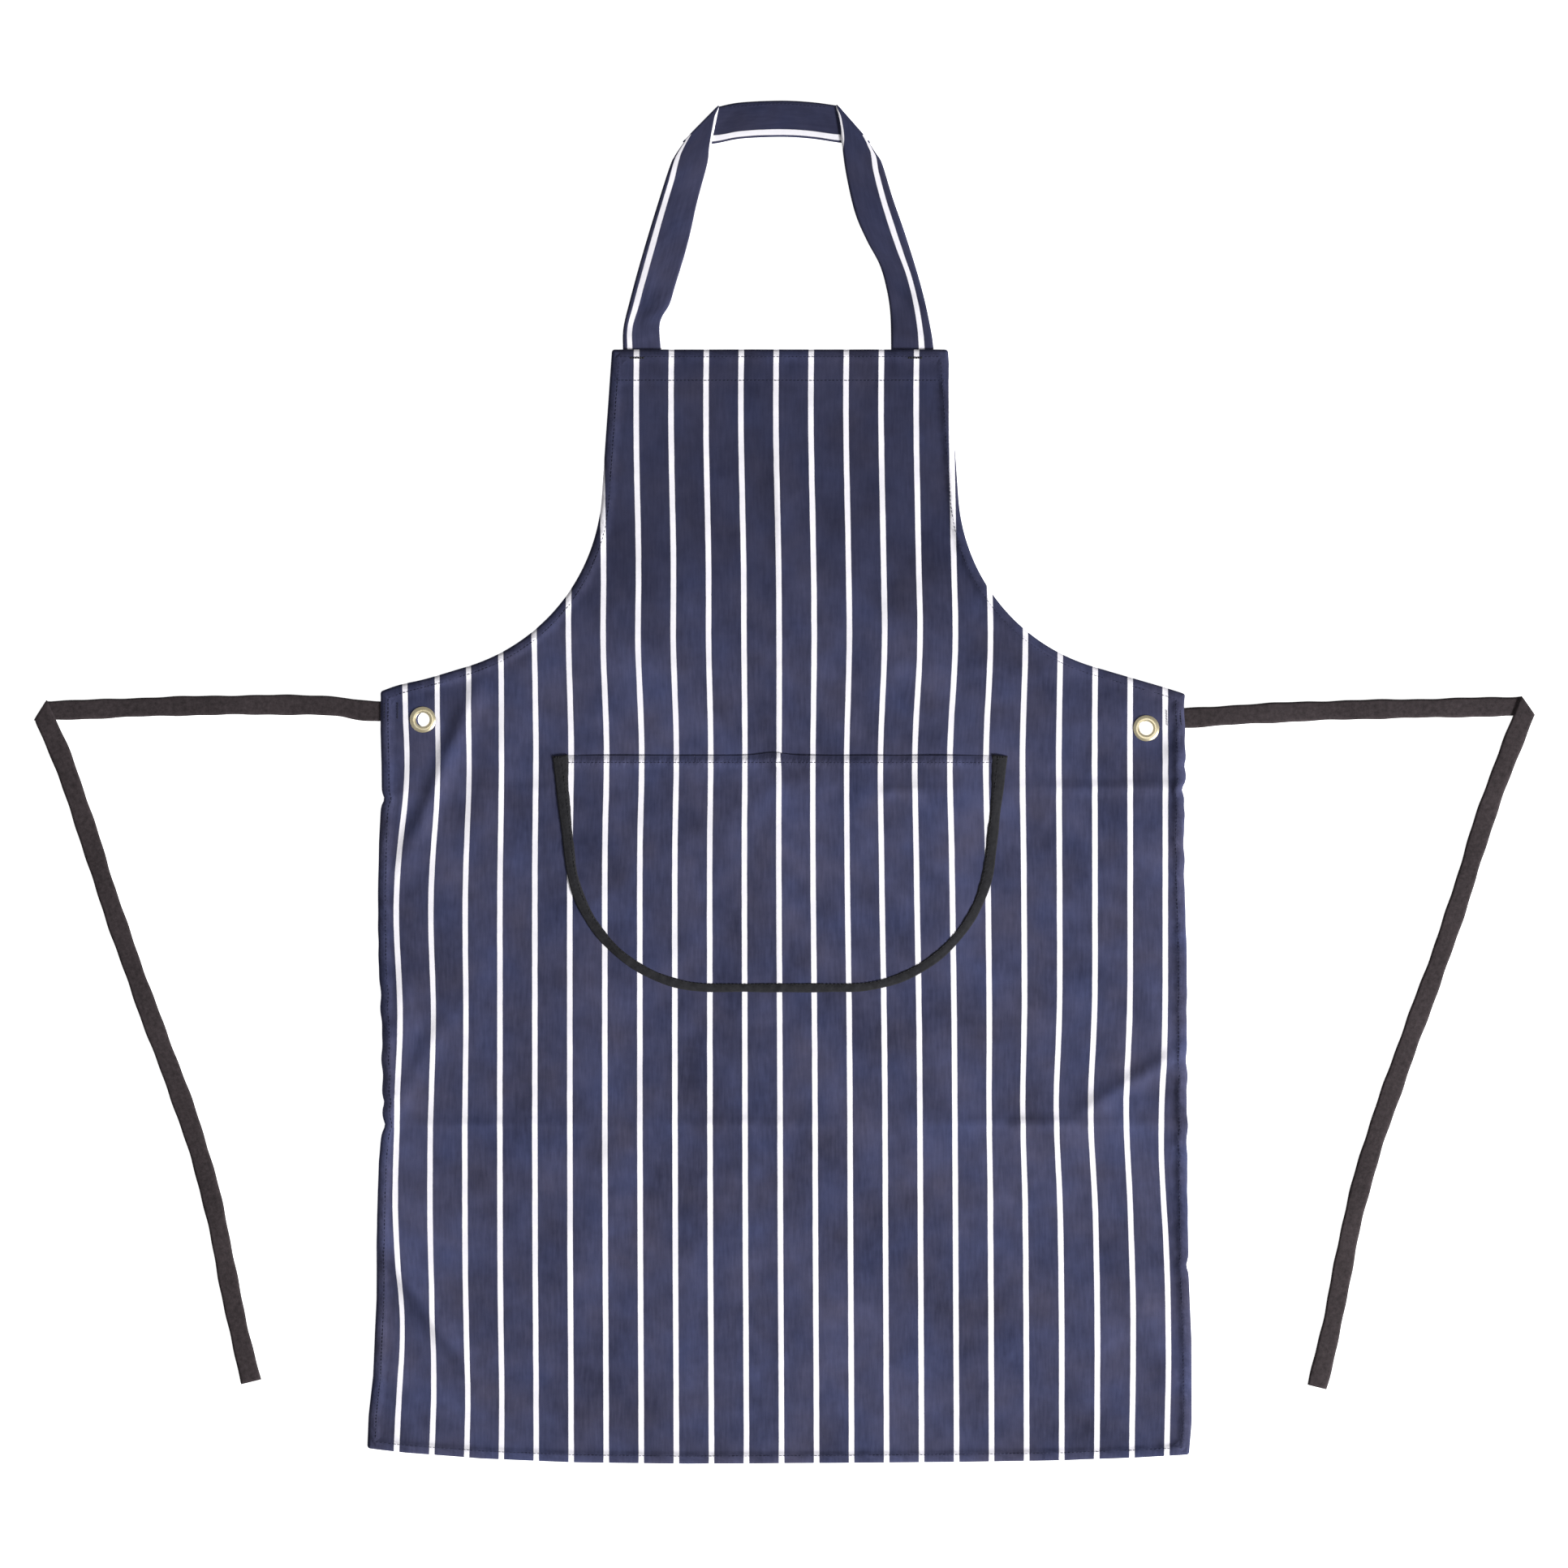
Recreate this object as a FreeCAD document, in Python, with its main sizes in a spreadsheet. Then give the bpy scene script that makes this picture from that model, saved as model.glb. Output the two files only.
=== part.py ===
import FreeCAD, Part
import math
import os

V = FreeCAD.Vector
doc = FreeCAD.newDocument("ButcherApron")

# ---------------------------------------------------------------- driving dimensions (mm)
# The apron lies flat, face up: X across, Y from hem (-) to neck (+), Z up from the table.
DIMENSIONS = {
    # panel
    "cloth": 0.6,              # one layer of striped twill
    "hem_rise": 1.2,           # two turned layers under every edge
    "half_length": 594.0,      # half the length from bottom hem to top of the neck strap
    "bib_top": 376.0,
    "fold_line": 97.0,         # where the bib folds down over the skirt
    "fold_gap": 0.3,           # clearance each side of a seam or fold that moves
    "corner_level": 77.0,      # the skirt's top corners
    "skirt_half": 351.0,
    "bib_half": 146.0,
    "armhole_top": 247.0,      # end of the straight part of the armhole
    "armhole_half": 155.0,
    "armhole_foot": 276.5,     # half width where the armhole curve meets the waist slope
    "hem_corner": 4.0,         # radius of the skirt's lower corners
    "panel_corner": 2.0,       # radius of the other corners
    "hem_width": 7.0,
    "side_hem_width": 9.0,
    "bib_hem_width": 28.0,
    # pocket and its binding
    "pocket_half": 193.5,
    "pocket_top": 22.6,
    "pocket_base": -179.5,
    "pocket_corner": 125.0,    # radius of the pocket's round lower corners
    "pocket_lean": 0.114,      # how far its sides draw in for each mm down
    "binding_out": 4.0,        # the binding's edge beyond the pocket's edge
    "binding_in": 5.0,         # the binding's edge over the pocket's face
    "binding_rise": 1.5,       # the folded binding's height above the apron's face
    "binding_ease": 0.2,       # room round the pocket's edge inside the binding
    # eyelets
    "left_eyelet_x": -311.0,
    "left_eyelet_y": 54.0,
    "right_eyelet_x": 319.0,
    "right_eyelet_y": 46.5,
    "eyelet_hole": 6.0,
    "eyelet_barrel": 6.7,
    "eyelet_flange": 11.3,
    "eyelet_rise": 1.3,        # the flange's crown above the face
    "eyelet_step": 0.6,        # how far the flange's inner edge lies below its crown
    "eyelet_lip": 8.4,         # the rolled lip at the back
    "eyelet_foot": 0.15,
    "lip_rise": 0.3,
    "washer_out": 10.5,
    "washer_level": 0.5,
    "washer_ease": 0.1,
    # neck strap and waist ties
    "strap_width": 34.5,
    "strap_x": 117.3,          # middle of each leg at the bib
    "strap_sewn": 26.0,        # length of strap sewn behind the bib's hem
    "tie_width": 17.0,
    "tie_rise": 1.2,
    "tie_sewn": 18.0,
    "tie_gap": 0.7,            # from the side edge to the free tie's first corner
    # sewing: a thread's size, and each row's distance from the edge it follows
    "thread": 0.8,
    "thread_rise": 0.25,
    "row_end": 2.0,
    "hem_row": 6.4,
    "side_row": 7.5,
    "bib_row": 26.5,
    "mouth_row": 6.5,
    "binding_row": 3.4,
    "strap_row": 7.0,
    "strap_low_row": 23.0,
    "strap_row_half": 15.0,
    "tie_row": 3.0,
    "tie_row_half": 7.0,
    "tack_row": 1.5,
    "tack_in": 4.0,
    "tack_out": 3.0,
}

sheet = doc.addObject("Spreadsheet::Sheet", "Dimensions")
for row, (alias, value) in enumerate(DIMENSIONS.items(), start=1):
    sheet.set("A%d" % row, alias)
    sheet.set("B%d" % row, str(value))
    sheet.setAlias("B%d" % row, alias)
doc.recompute()


def dim(alias):
    return float(sheet.get(alias))


FACE = dim("hem_rise") + dim("cloth")      # height of the apron's face above the table
PANEL_RISE = "Dimensions.hem_rise + Dimensions.cloth"
nodes = []


# ---------------------------------------------------------------- helpers
def body(name):
    part = doc.addObject("PartDesign::Body", name)
    part.Label = name
    nodes.append(part)
    return part


def plane(part, role):
    return next(f for f in part.Origin.OriginFeatures if f.Role == role)


def sketch_on(part, name, level=None):
    """A sketch on the body's XY plane, lifted to a level given as an expression."""
    sketch = part.newObject("Sketcher::SketchObject", name)
    sketch.AttachmentSupport = [(plane(part, "XY_Plane"), "")]
    sketch.MapMode = "FlatFace"
    if level is not None:
        sketch.setExpression("AttachmentOffset.Base.z", level)
    return sketch


def corner_arc(before, corner, after, radius):
    """The tangent arc that rounds a corner, with its two ends."""
    back = (before - corner).normalize()
    on = (after - corner).normalize()
    half = back.getAngle(on) / 2
    reach = radius / math.tan(half)
    into = corner + back * reach
    out = corner + on * reach
    centre = corner + (back + on).normalize() * (radius / math.sin(half))
    top = centre + (corner - centre).normalize() * radius
    return into, Part.Arc(into, top, out), out


def close_outline(sketch, points, radii=None):
    """Straight runs through the points, each corner with a radius rounded by a tangent arc."""
    radii = radii or {}
    count = len(points)
    starts, ends, geometry = [], [], []
    for i, corner in enumerate(points):
        into, out = corner, corner
        if radii.get(i):
            into, arc, out = corner_arc(points[i - 1], corner, points[(i + 1) % count], radii[i])
            geometry.append(arc)
        starts.append(into)
        ends.append(out)
    for i in range(count):
        geometry.append(Part.LineSegment(ends[i], starts[(i + 1) % count]))
    sketch.addGeometry(geometry, False)


def rounded_wire(points, radii):
    """An open wire of straight runs with a tangent arc at each inner point."""
    edges = []
    here = points[0]
    for before, corner, after, radius in zip(points, points[1:], points[2:], radii):
        into, arc, out = corner_arc(before, corner, after, radius)
        edges += [Part.LineSegment(here, into).toShape(), arc.toShape()]
        here = out
    edges.append(Part.LineSegment(here, points[-1]).toShape())
    return Part.Wire(edges)


def ribbon(wire, width, rise):
    """A flat strip of a width and height swept along a wire."""
    start = wire.OrderedEdges[0]
    along = start.tangentAt(start.FirstParameter)
    side = V(-along.y, along.x, 0) * (width / 2)
    first = wire.OrderedVertexes[0].Point
    lift = V(0, 0, rise)
    section = Part.makePolygon([
        first - side, first + side, first + side + lift, first - side + lift, first - side])
    return wire.makePipeShell([section], True, True, 2)


def pad(part, sketch, length):
    feature = part.newObject("PartDesign::Pad", sketch.Name + "_pad")
    feature.Profile = sketch
    feature.setExpression("Length", length)
    doc.recompute()


def pocket(part, sketch, depth):
    """Cut upwards from the sketch; the volume shows that the cut went into the solid."""
    before = part.Shape.Volume
    feature = part.newObject("PartDesign::Pocket", sketch.Name + "_cut")
    feature.Profile = sketch
    feature.setExpression("Length", depth)
    feature.Reversed = True
    doc.recompute()
    if part.Shape.Volume >= before:
        raise RuntimeError(sketch.Name + " cut nothing")


def mirrored(points):
    """The same outline on the other side of the apron, kept in the same turning sense."""
    return [V(-p.x, p.y, p.z) for p in reversed(points)]


def both_sides(points):
    """A symmetric outline from its right half, listed from bottom to top."""
    return list(points) + mirrored(points)


def inset(points, distances):
    """Each side of a closed outline (anticlockwise) moved inwards by its own distance."""
    count = len(points)
    result = []
    for i in range(count):
        lines = []
        for j in ((i - 1) % count, i):
            a = points[j]
            along = (points[(j + 1) % count] - a).normalize()
            lines.append((a + V(-along.y, along.x, 0) * distances[j], along))
        (a, u), (b, w) = lines
        cross = u.x * w.y - u.y * w.x
        step = ((b.x - a.x) * w.y - (b.y - a.y) * w.x) / cross
        result.append(a + u * step)
    return result


def strip(a, b, width):
    """The four corners of a straight strip of a width from a to b."""
    along = (b - a).normalize()
    side = V(-along.y, along.x, 0) * (width / 2)
    return [a - side, b - side, b + side, a + side]


def on_side(points, sign):
    """Points given for the right side, or the same points on the left."""
    return [V(sign * p.x, p.y, p.z) for p in points]


def thread_path(name, level, paths):
    """Sewing thread on the cloth: one thin strip along each path of (points, corner radius)."""
    solids = []
    for points, radius in paths:
        wire = rounded_wire(points, [radius] * len(points))
        solids.append(ribbon(wire, dim("thread"), dim("thread_rise")))
    feature = doc.addObject("Part::Feature", name)
    feature.Label = name
    feature.Shape = solids[0] if len(solids) == 1 else Part.makeCompound(solids)
    feature.Placement = FreeCAD.Placement(V(0, 0, level), FreeCAD.Rotation())
    nodes.append(feature)


# ---------------------------------------------------------------- the panel's own lines
HEM = -dim("half_length")
FOLD = dim("fold_line")
WAIST_SLOPE = (FOLD - dim("corner_level")) / (dim("skirt_half") - dim("armhole_foot"))
ARMHOLE_LEAN = (dim("armhole_half") - dim("bib_half")) / (dim("bib_top") - dim("armhole_top"))
ARC_SHARE = 0.985      # the armhole's arc, kept just short of its two straight ends
ROW_SHARE = 0.85       # the sewing beside it turns a little tighter


def armhole_corner():
    """Where the armhole's two straight lines would meet, with the radius that joins them."""
    rise = FOLD - dim("armhole_top")
    run = dim("armhole_foot") - dim("armhole_half")
    drop = (run * WAIST_SLOPE + rise) / (1 + ARMHOLE_LEAN * WAIST_SLOPE)
    corner = V(dim("armhole_half") - ARMHOLE_LEAN * drop, dim("armhole_top") + drop, 0)
    up = V(dim("armhole_half"), dim("armhole_top"), 0) - corner
    out = V(dim("armhole_foot"), FOLD, 0) - corner
    return corner, ARC_SHARE * min(up.Length, out.Length) * math.tan(up.getAngle(out) / 2)


ARMHOLE_CORNER, ARMHOLE_RADIUS = armhole_corner()
SKIRT_OUTLINE = both_sides([
    V(dim("skirt_half"), HEM, 0),
    V(dim("skirt_half"), dim("corner_level"), 0),
    V(dim("armhole_foot"), FOLD - dim("fold_gap"), 0),
])
BIB_OUTLINE = both_sides([
    V(dim("armhole_foot"), FOLD + dim("fold_gap"), 0),
    ARMHOLE_CORNER + V(0, dim("fold_gap"), 0),
    V(dim("bib_half"), dim("bib_top"), 0),
])


# ---------------------------------------------------------------- skirt
def make_skirt():
    part = body("skirt_panel")
    low, high = dim("hem_corner"), dim("panel_corner")
    face = sketch_on(part, "skirt_outline")
    close_outline(face, SKIRT_OUTLINE, {0: low, 5: low, 1: high, 4: high})
    pad(part, face, PANEL_RISE)
    hem, side = dim("hem_width"), dim("side_hem_width")
    inside = inset(SKIRT_OUTLINE, [side, side, 0.0, side, side, hem])
    foot = dim("armhole_foot")
    past = FOLD + 1      # the hollow runs out through the fold line
    hollow = sketch_on(part, "skirt_hem_inside")
    close_outline(hollow, inside[:2] + [V(foot, past, 0), V(-foot, past, 0)] + inside[-2:])
    pocket(part, hollow, "Dimensions.hem_rise")
    for sign, side_name in ((-1, "left"), (1, "right")):
        level = TIE_ROUTES[side_name][0].y
        notch = sketch_on(part, side_name + "_tie_notch")
        inner = V(sign * (dim("skirt_half") - dim("tie_sewn")), level, 0)
        outer = V(sign * (dim("skirt_half") + 1), level, 0)
        close_outline(notch, strip(inner, outer, dim("tie_width")))
        pocket(part, notch, "Dimensions.hem_rise")
        hole = sketch_on(part, side_name + "_eyelet_hole")
        centre = eyelet_centre(side_name)
        hole.addGeometry(Part.Circle(centre, V(0, 0, 1), dim("eyelet_barrel")), False)
        pocket(part, hole, PANEL_RISE)


def pocket_outline(grow, above=0.0):
    """The D-shaped patch, anticlockwise from the base, grown outwards at sides and base."""
    base_y = dim("pocket_base") - grow
    base_x = dim("pocket_half") - dim("pocket_lean") * (dim("pocket_top") - base_y) + grow
    top_x = dim("pocket_half") + grow
    top_y = dim("pocket_top") + above
    points = [V(-base_x, base_y, 0), V(base_x, base_y, 0), V(top_x, top_y, 0), V(-top_x, top_y, 0)]
    radius = dim("pocket_corner") + grow
    return points, {0: radius, 1: radius}


def make_pocket():
    part = body("pocket_panel")
    face = sketch_on(part, "pocket_outline", PANEL_RISE)
    close_outline(face, *pocket_outline(0.0))
    pad(part, face, "Dimensions.cloth")

    part = body("pocket_binding")
    outer = sketch_on(part, "binding_outer", PANEL_RISE)
    close_outline(outer, *pocket_outline(dim("binding_out")))
    pad(part, outer, "Dimensions.binding_rise")
    inner = sketch_on(part, "binding_inner", PANEL_RISE)
    close_outline(inner, *pocket_outline(-dim("binding_in"), above=1))
    pocket(part, inner, "Dimensions.binding_rise")
    seat = sketch_on(part, "binding_seat", PANEL_RISE)
    close_outline(seat, *pocket_outline(dim("binding_ease"), above=1))
    pocket(part, seat, "Dimensions.cloth")


def eyelet_centre(side_name):
    return V(dim(side_name + "_eyelet_x"), dim(side_name + "_eyelet_y"), 0)


def make_eyelet(side_name):
    """A brass eyelet: barrel, rounded flange on the face and a lip rolled over at the back."""
    part = body(side_name + "_eyelet")
    part.Placement = FreeCAD.Placement(eyelet_centre(side_name), FreeCAD.Rotation())
    profile = part.newObject("Sketcher::SketchObject", side_name + "_eyelet_profile")
    profile.AttachmentSupport = [(plane(part, "XZ_Plane"), "")]
    profile.MapMode = "FlatFace"
    inside, barrel = dim("eyelet_hole"), dim("eyelet_barrel")
    rim, crown = dim("eyelet_flange"), FACE + dim("eyelet_rise")
    lip, foot = dim("eyelet_lip"), dim("eyelet_foot")
    lip_top, shoulder = foot + dim("lip_rise"), crown - dim("eyelet_step")
    corners = [V(inside, shoulder, 0), V(inside, foot, 0), V(lip, foot, 0), V(lip, lip_top, 0),
               V(barrel, lip_top, 0), V(barrel, FACE, 0), V(rim, FACE, 0)]
    for a, b in zip(corners, corners[1:]):
        profile.addGeometry(Part.LineSegment(a, b), False)
    middle = V((inside + rim) / 2, crown, 0)
    profile.addGeometry(Part.Arc(corners[-1], middle, corners[0]), False)
    turn = part.newObject("PartDesign::Revolution", side_name + "_eyelet_turn")
    turn.Profile = profile
    turn.ReferenceAxis = (profile, ["V_Axis"])
    turn.Angle = 360.0
    doc.recompute()

    washer = body(side_name + "_eyelet_washer")
    washer.Placement = part.Placement
    ring = sketch_on(washer, side_name + "_washer_ring", "Dimensions.washer_level")
    for radius in (dim("washer_out"), barrel + dim("washer_ease")):
        ring.addGeometry(Part.Circle(V(), V(0, 0, 1), radius), False)
    pad(washer, ring, "Dimensions.hem_rise - Dimensions.washer_level")


# ---------------------------------------------------------------- bib and neck strap
def make_bib():
    part = body("bib_panel")
    corner = dim("panel_corner")
    face = sketch_on(part, "bib_outline")
    rounding = {1: ARMHOLE_RADIUS, 4: ARMHOLE_RADIUS, 2: corner, 3: corner}
    close_outline(face, BIB_OUTLINE, rounding)
    pad(part, face, PANEL_RISE)
    hem, side = dim("bib_hem_width"), dim("side_hem_width")
    inner = inset(BIB_OUTLINE, [side, side, hem, side, side, 0.0])
    inner[0].y = inner[-1].y = FOLD - 1      # the hollow runs out through the fold line
    wider = (ARMHOLE_RADIUS + side) * 0.95   # the hem's inner edge turns a little tighter
    hollow = sketch_on(part, "bib_hem_inside")
    close_outline(hollow, inner, {1: wider, 4: wider})
    pocket(part, hollow, "Dimensions.hem_rise")
    for sign, side_name in ((-1, "left"), (1, "right")):
        x = sign * dim("strap_x")
        low = V(x, dim("bib_top") - dim("strap_sewn"), 0)
        notch = sketch_on(part, side_name + "_strap_notch")
        close_outline(notch, strip(low, V(x, dim("bib_top") + 1, 0), dim("strap_width")))
        pocket(part, notch, "Dimensions.hem_rise")
        end = body(side_name + "_strap_end")
        seat = sketch_on(end, side_name + "_strap_end_outline")
        high = V(x, dim("bib_top") - dim("fold_gap"), 0)
        close_outline(seat, strip(low, high, dim("strap_width")))
        pad(end, seat, "Dimensions.hem_rise")


# The strap's right half: points across and up, and the radius of the bend there.
STRAP_FOOT = dim("bib_top") + dim("fold_gap")
STRAP_OUTER = [(134.6, STRAP_FOOT, 0), (134.6, 402.0, 90), (92.5, 540.0, 0), (81.0, 556.5, 0),
               (51.0, 590.0, 0), (30.0, dim("half_length"), 0)]
STRAP_INNER = [(100.1, STRAP_FOOT, 0), (100.1, 404.0, 60), (56.2, 558.0, 0)]
STRAP_LAP = [(56.2, 558.0), (81.0, 556.5), (51.0, 590.0)]
STRAP_SEAM = [(103.6, 377.5), (103.6, 405.0), (62.5, 549.0)]
SEAM_BEND = 60.0
STRIP_SEAM = (46.0, 563.5)     # half length and height of the row along the neck strip


def make_neck_strap():
    """Two legs and a neck strip of one folded strap; the legs lie over the strip at the folds."""
    part = body("neck_strap")
    loop = sketch_on(part, "strap_outline")
    outline = (STRAP_OUTER + [(-x, y, r) for x, y, r in reversed(STRAP_OUTER)]
               + [(-x, y, r) for x, y, r in STRAP_INNER] + list(reversed(STRAP_INNER)))
    bends = {i: r for i, (x, y, r) in enumerate(outline)}
    close_outline(loop, [V(x, y, 0) for x, y, r in outline], bends)
    pad(part, loop, "Dimensions.hem_rise")
    for sign, side_name in ((-1, "left"), (1, "right")):
        lap = sketch_on(part, side_name + "_strap_lap", "Dimensions.hem_rise")
        close_outline(lap, [V(sign * x, y, 0) for x, y in STRAP_LAP])
        pad(part, lap, "Dimensions.hem_rise")


# ---------------------------------------------------------------- waist ties
# Middle line of each tape as it lies on the table, from the seam to its free end.
TIE_ROUTES = {
    "left": [
        V(-351.0, 61.4, 0), V(-366.0, 61.8, 0), V(-385.0, 66.0, 0), V(-418.0, 67.0, 0),
        V(-468.0, 66.9, 0), V(-520.0, 66.0, 0), V(-566.0, 64.6, 0), V(-600.0, 63.0, 0),
        V(-626.0, 62.3, 0), V(-636.5, 46.0, 0), V(-625.5, 22.0, 0), V(-614.0, -11.0, 0),
        V(-600.0, -52.5, 0), V(-584.0, -104.0, 0), V(-565.0, -158.5, 0), V(-545.5, -212.0, 0),
        V(-524.5, -267.0, 0), V(-506.5, -319.0, 0), V(-492.5, -371.0, 0), V(-482.5, -424.0, 0),
        V(-472.5, -474.0, 0), V(-460.5, -522.7, 0)],
    "right": [
        V(351.0, 55.5, 0), V(368.0, 56.1, 0), V(392.0, 58.0, 0), V(428.0, 60.0, 0),
        V(476.0, 62.0, 0), V(526.0, 63.3, 0), V(570.0, 64.0, 0), V(606.0, 64.9, 0),
        V(632.0, 65.4, 0), V(644.0, 48.5, 0), V(633.0, 20.0, 0), V(621.0, -11.0, 0),
        V(607.5, -51.0, 0), V(592.0, -103.0, 0), V(572.9, -159.0, 0), V(552.5, -213.0, 0),
        V(532.5, -269.5, 0), V(514.0, -322.5, 0), V(499.5, -376.0, 0), V(489.0, -430.0, 0),
        V(479.5, -480.0, 0), V(467.7, -527.3, 0)],
}
BEND_SHARE = 0.45      # of the shorter run beside a bend, used by its arc


def bend_radius(before, corner, after):
    """The largest radius that leaves room for the neighbouring bends."""
    back = before - corner
    on = after - corner
    half_turn = (math.pi - back.getAngle(on)) / 2
    return BEND_SHARE * min(back.Length, on.Length) / math.tan(half_turn)


def make_tie(sign, side_name):
    route = list(TIE_ROUTES[side_name])
    level = route[0].y
    route[0] = route[0] + V(sign * dim("tie_gap"), 0, 0)
    radii = [bend_radius(*three) for three in zip(route, route[1:], route[2:])]
    wire = rounded_wire(route, radii)
    feature = doc.addObject("Part::Feature", side_name + "_waist_tie")
    feature.Label = feature.Name
    feature.Shape = ribbon(wire, dim("tie_width"), dim("tie_rise"))
    nodes.append(feature)
    expected = dim("tie_width") * dim("tie_rise") * wire.Length
    print("%s tie: length %.1f mm, volume %.4f of section x length, radii %s" % (
        side_name, wire.Length, feature.Shape.Volume / expected, " ".join("%.0f" % r for r in radii)))

    end = body(side_name + "_tie_end")
    seat = sketch_on(end, side_name + "_tie_end_outline")
    inner = V(sign * (dim("skirt_half") - dim("tie_sewn")), level, 0)
    outer = V(sign * (dim("skirt_half") - dim("fold_gap")), level, 0)
    close_outline(seat, strip(inner, outer, dim("tie_width")))
    pad(end, seat, "Dimensions.hem_rise")


# ---------------------------------------------------------------- sewing threads
def step_from(a, b, distance):
    """The point a little way from a towards b."""
    return a + (b - a).normalize() * distance


def make_side_threads(sign, side_name):
    row, end = dim("side_row"), dim("row_end")
    line = inset(SKIRT_OUTLINE, [row, row, 0.0, row, row, dim("hem_row")])[:3]
    line[0] = step_from(line[0], line[1], end)
    line[2] = step_from(line[2], line[1], end)
    thread_path(side_name + "_side_stitching", FACE, [(on_side(line, sign), dim("panel_corner"))])

    line = inset(BIB_OUTLINE, [row, row, dim("bib_hem_width"), row, row, 0.0])[:3]
    line[0] = step_from(line[0], line[1], end)
    thread_path(side_name + "_armhole_stitching", FACE, [
        (on_side(line, sign), ROW_SHARE * ARMHOLE_RADIUS)])

    half = dim("strap_row_half")
    inner, outer = dim("strap_x") - half, dim("strap_x") + half
    rows = [dim("bib_top") - dim("strap_row"), dim("bib_top") - dim("strap_low_row")]
    thread_path(side_name + "_strap_stitching", FACE, [
        (on_side([V(inner, y, 0), V(outer, y, 0)], sign), 0.0) for y in rows])

    level, half = TIE_ROUTES[side_name][0].y, dim("tie_row_half")
    columns = [dim("skirt_half") - dim("tie_sewn") + dim("tie_row"), dim("skirt_half") - dim("tie_row")]
    thread_path(side_name + "_tie_stitching", FACE, [
        (on_side([V(x, level - half, 0), V(x, level + half, 0)], sign), 0.0) for x in columns])

    top = dim("pocket_top") - dim("tack_row")
    tack = [V(dim("pocket_half") - dim("tack_in"), top, 0), V(dim("pocket_half") + dim("tack_out"), top, 0)]
    thread_path(side_name + "_pocket_bartack", FACE + dim("binding_rise"), [(on_side(tack, sign), 0.0)])


def across(half, level):
    """A straight row from one side to the other."""
    return [V(-half, level, 0), V(half, level, 0)]


def make_threads():
    end = dim("row_end")
    thread_path("bottom_hem_stitching", FACE, [
        (across(dim("skirt_half") - end, HEM + dim("hem_row")), 0.0)])
    thread_path("bib_hem_stitching", FACE, [
        (across(dim("bib_half") - end, dim("bib_top") - dim("bib_row")), 0.0)])
    thread_path("pocket_hem_stitching", FACE + dim("cloth"), [
        (across(dim("pocket_half") - dim("binding_in") - end, dim("pocket_top") - dim("mouth_row")), 0.0)])
    points, radii = pocket_outline(-dim("binding_row"), above=-dim("tack_in"))
    line = [points[3], points[0], points[1], points[2]]
    thread_path("pocket_binding_stitching", FACE + dim("binding_rise"), [(line, radii[0])])
    seam = [V(x, y, 0) for x, y in STRAP_SEAM]
    thread_path("neck_strap_stitching", dim("hem_rise"), [
        (on_side(seam, -1), SEAM_BEND), (seam, SEAM_BEND), (across(*STRIP_SEAM), 0.0)])


# ---------------------------------------------------------------- build, check, export
make_skirt()
make_pocket()
for SIGN, SIDE in ((-1, "left"), (1, "right")):
    make_eyelet(SIDE)
    make_tie(SIGN, SIDE)
make_bib()
make_neck_strap()
for SIGN, SIDE in ((-1, "left"), (1, "right")):
    make_side_threads(SIGN, SIDE)
make_threads()
doc.recompute()

for item in doc.Objects:
    if "Invalid" in item.State or "Error" in item.State:
        raise RuntimeError("%s did not build: %s" % (item.Name, item.State))
for node in nodes:
    if node.Shape.isNull() or not node.Shape.isValid():
        raise RuntimeError(node.Label + " has no valid shape")

os.makedirs("parts", exist_ok=True)
for node in nodes:
    node.Shape.exportStep("parts/%s.step" % node.Label)
    box = node.Shape.BoundBox
    print("%-26s X %7.1f %7.1f  Y %7.1f %7.1f  Z %5.2f %5.2f  vol %9.1f solids %d" % (
        node.Label, box.XMin, box.XMax, box.YMin, box.YMax, box.ZMin, box.ZMax,
        node.Shape.Volume, len(node.Shape.Solids)))
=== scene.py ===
import math
import bpy
import numpy as np
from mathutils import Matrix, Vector, geometry


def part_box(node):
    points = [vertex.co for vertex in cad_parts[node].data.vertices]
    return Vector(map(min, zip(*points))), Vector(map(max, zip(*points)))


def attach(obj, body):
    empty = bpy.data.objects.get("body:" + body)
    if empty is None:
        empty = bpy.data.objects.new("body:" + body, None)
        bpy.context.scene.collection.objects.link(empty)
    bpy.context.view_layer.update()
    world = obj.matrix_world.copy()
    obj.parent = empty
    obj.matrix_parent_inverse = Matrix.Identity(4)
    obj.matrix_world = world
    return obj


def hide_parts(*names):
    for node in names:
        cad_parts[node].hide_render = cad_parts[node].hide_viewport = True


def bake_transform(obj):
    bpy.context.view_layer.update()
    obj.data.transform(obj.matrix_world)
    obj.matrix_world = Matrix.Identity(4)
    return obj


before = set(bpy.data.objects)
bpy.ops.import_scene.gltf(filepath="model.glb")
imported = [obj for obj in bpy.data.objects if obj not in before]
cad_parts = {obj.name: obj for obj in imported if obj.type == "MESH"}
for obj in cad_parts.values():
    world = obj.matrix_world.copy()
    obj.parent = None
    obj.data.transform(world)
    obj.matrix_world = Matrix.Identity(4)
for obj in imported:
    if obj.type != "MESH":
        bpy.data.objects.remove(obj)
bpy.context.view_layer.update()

MM = 0.001

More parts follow.
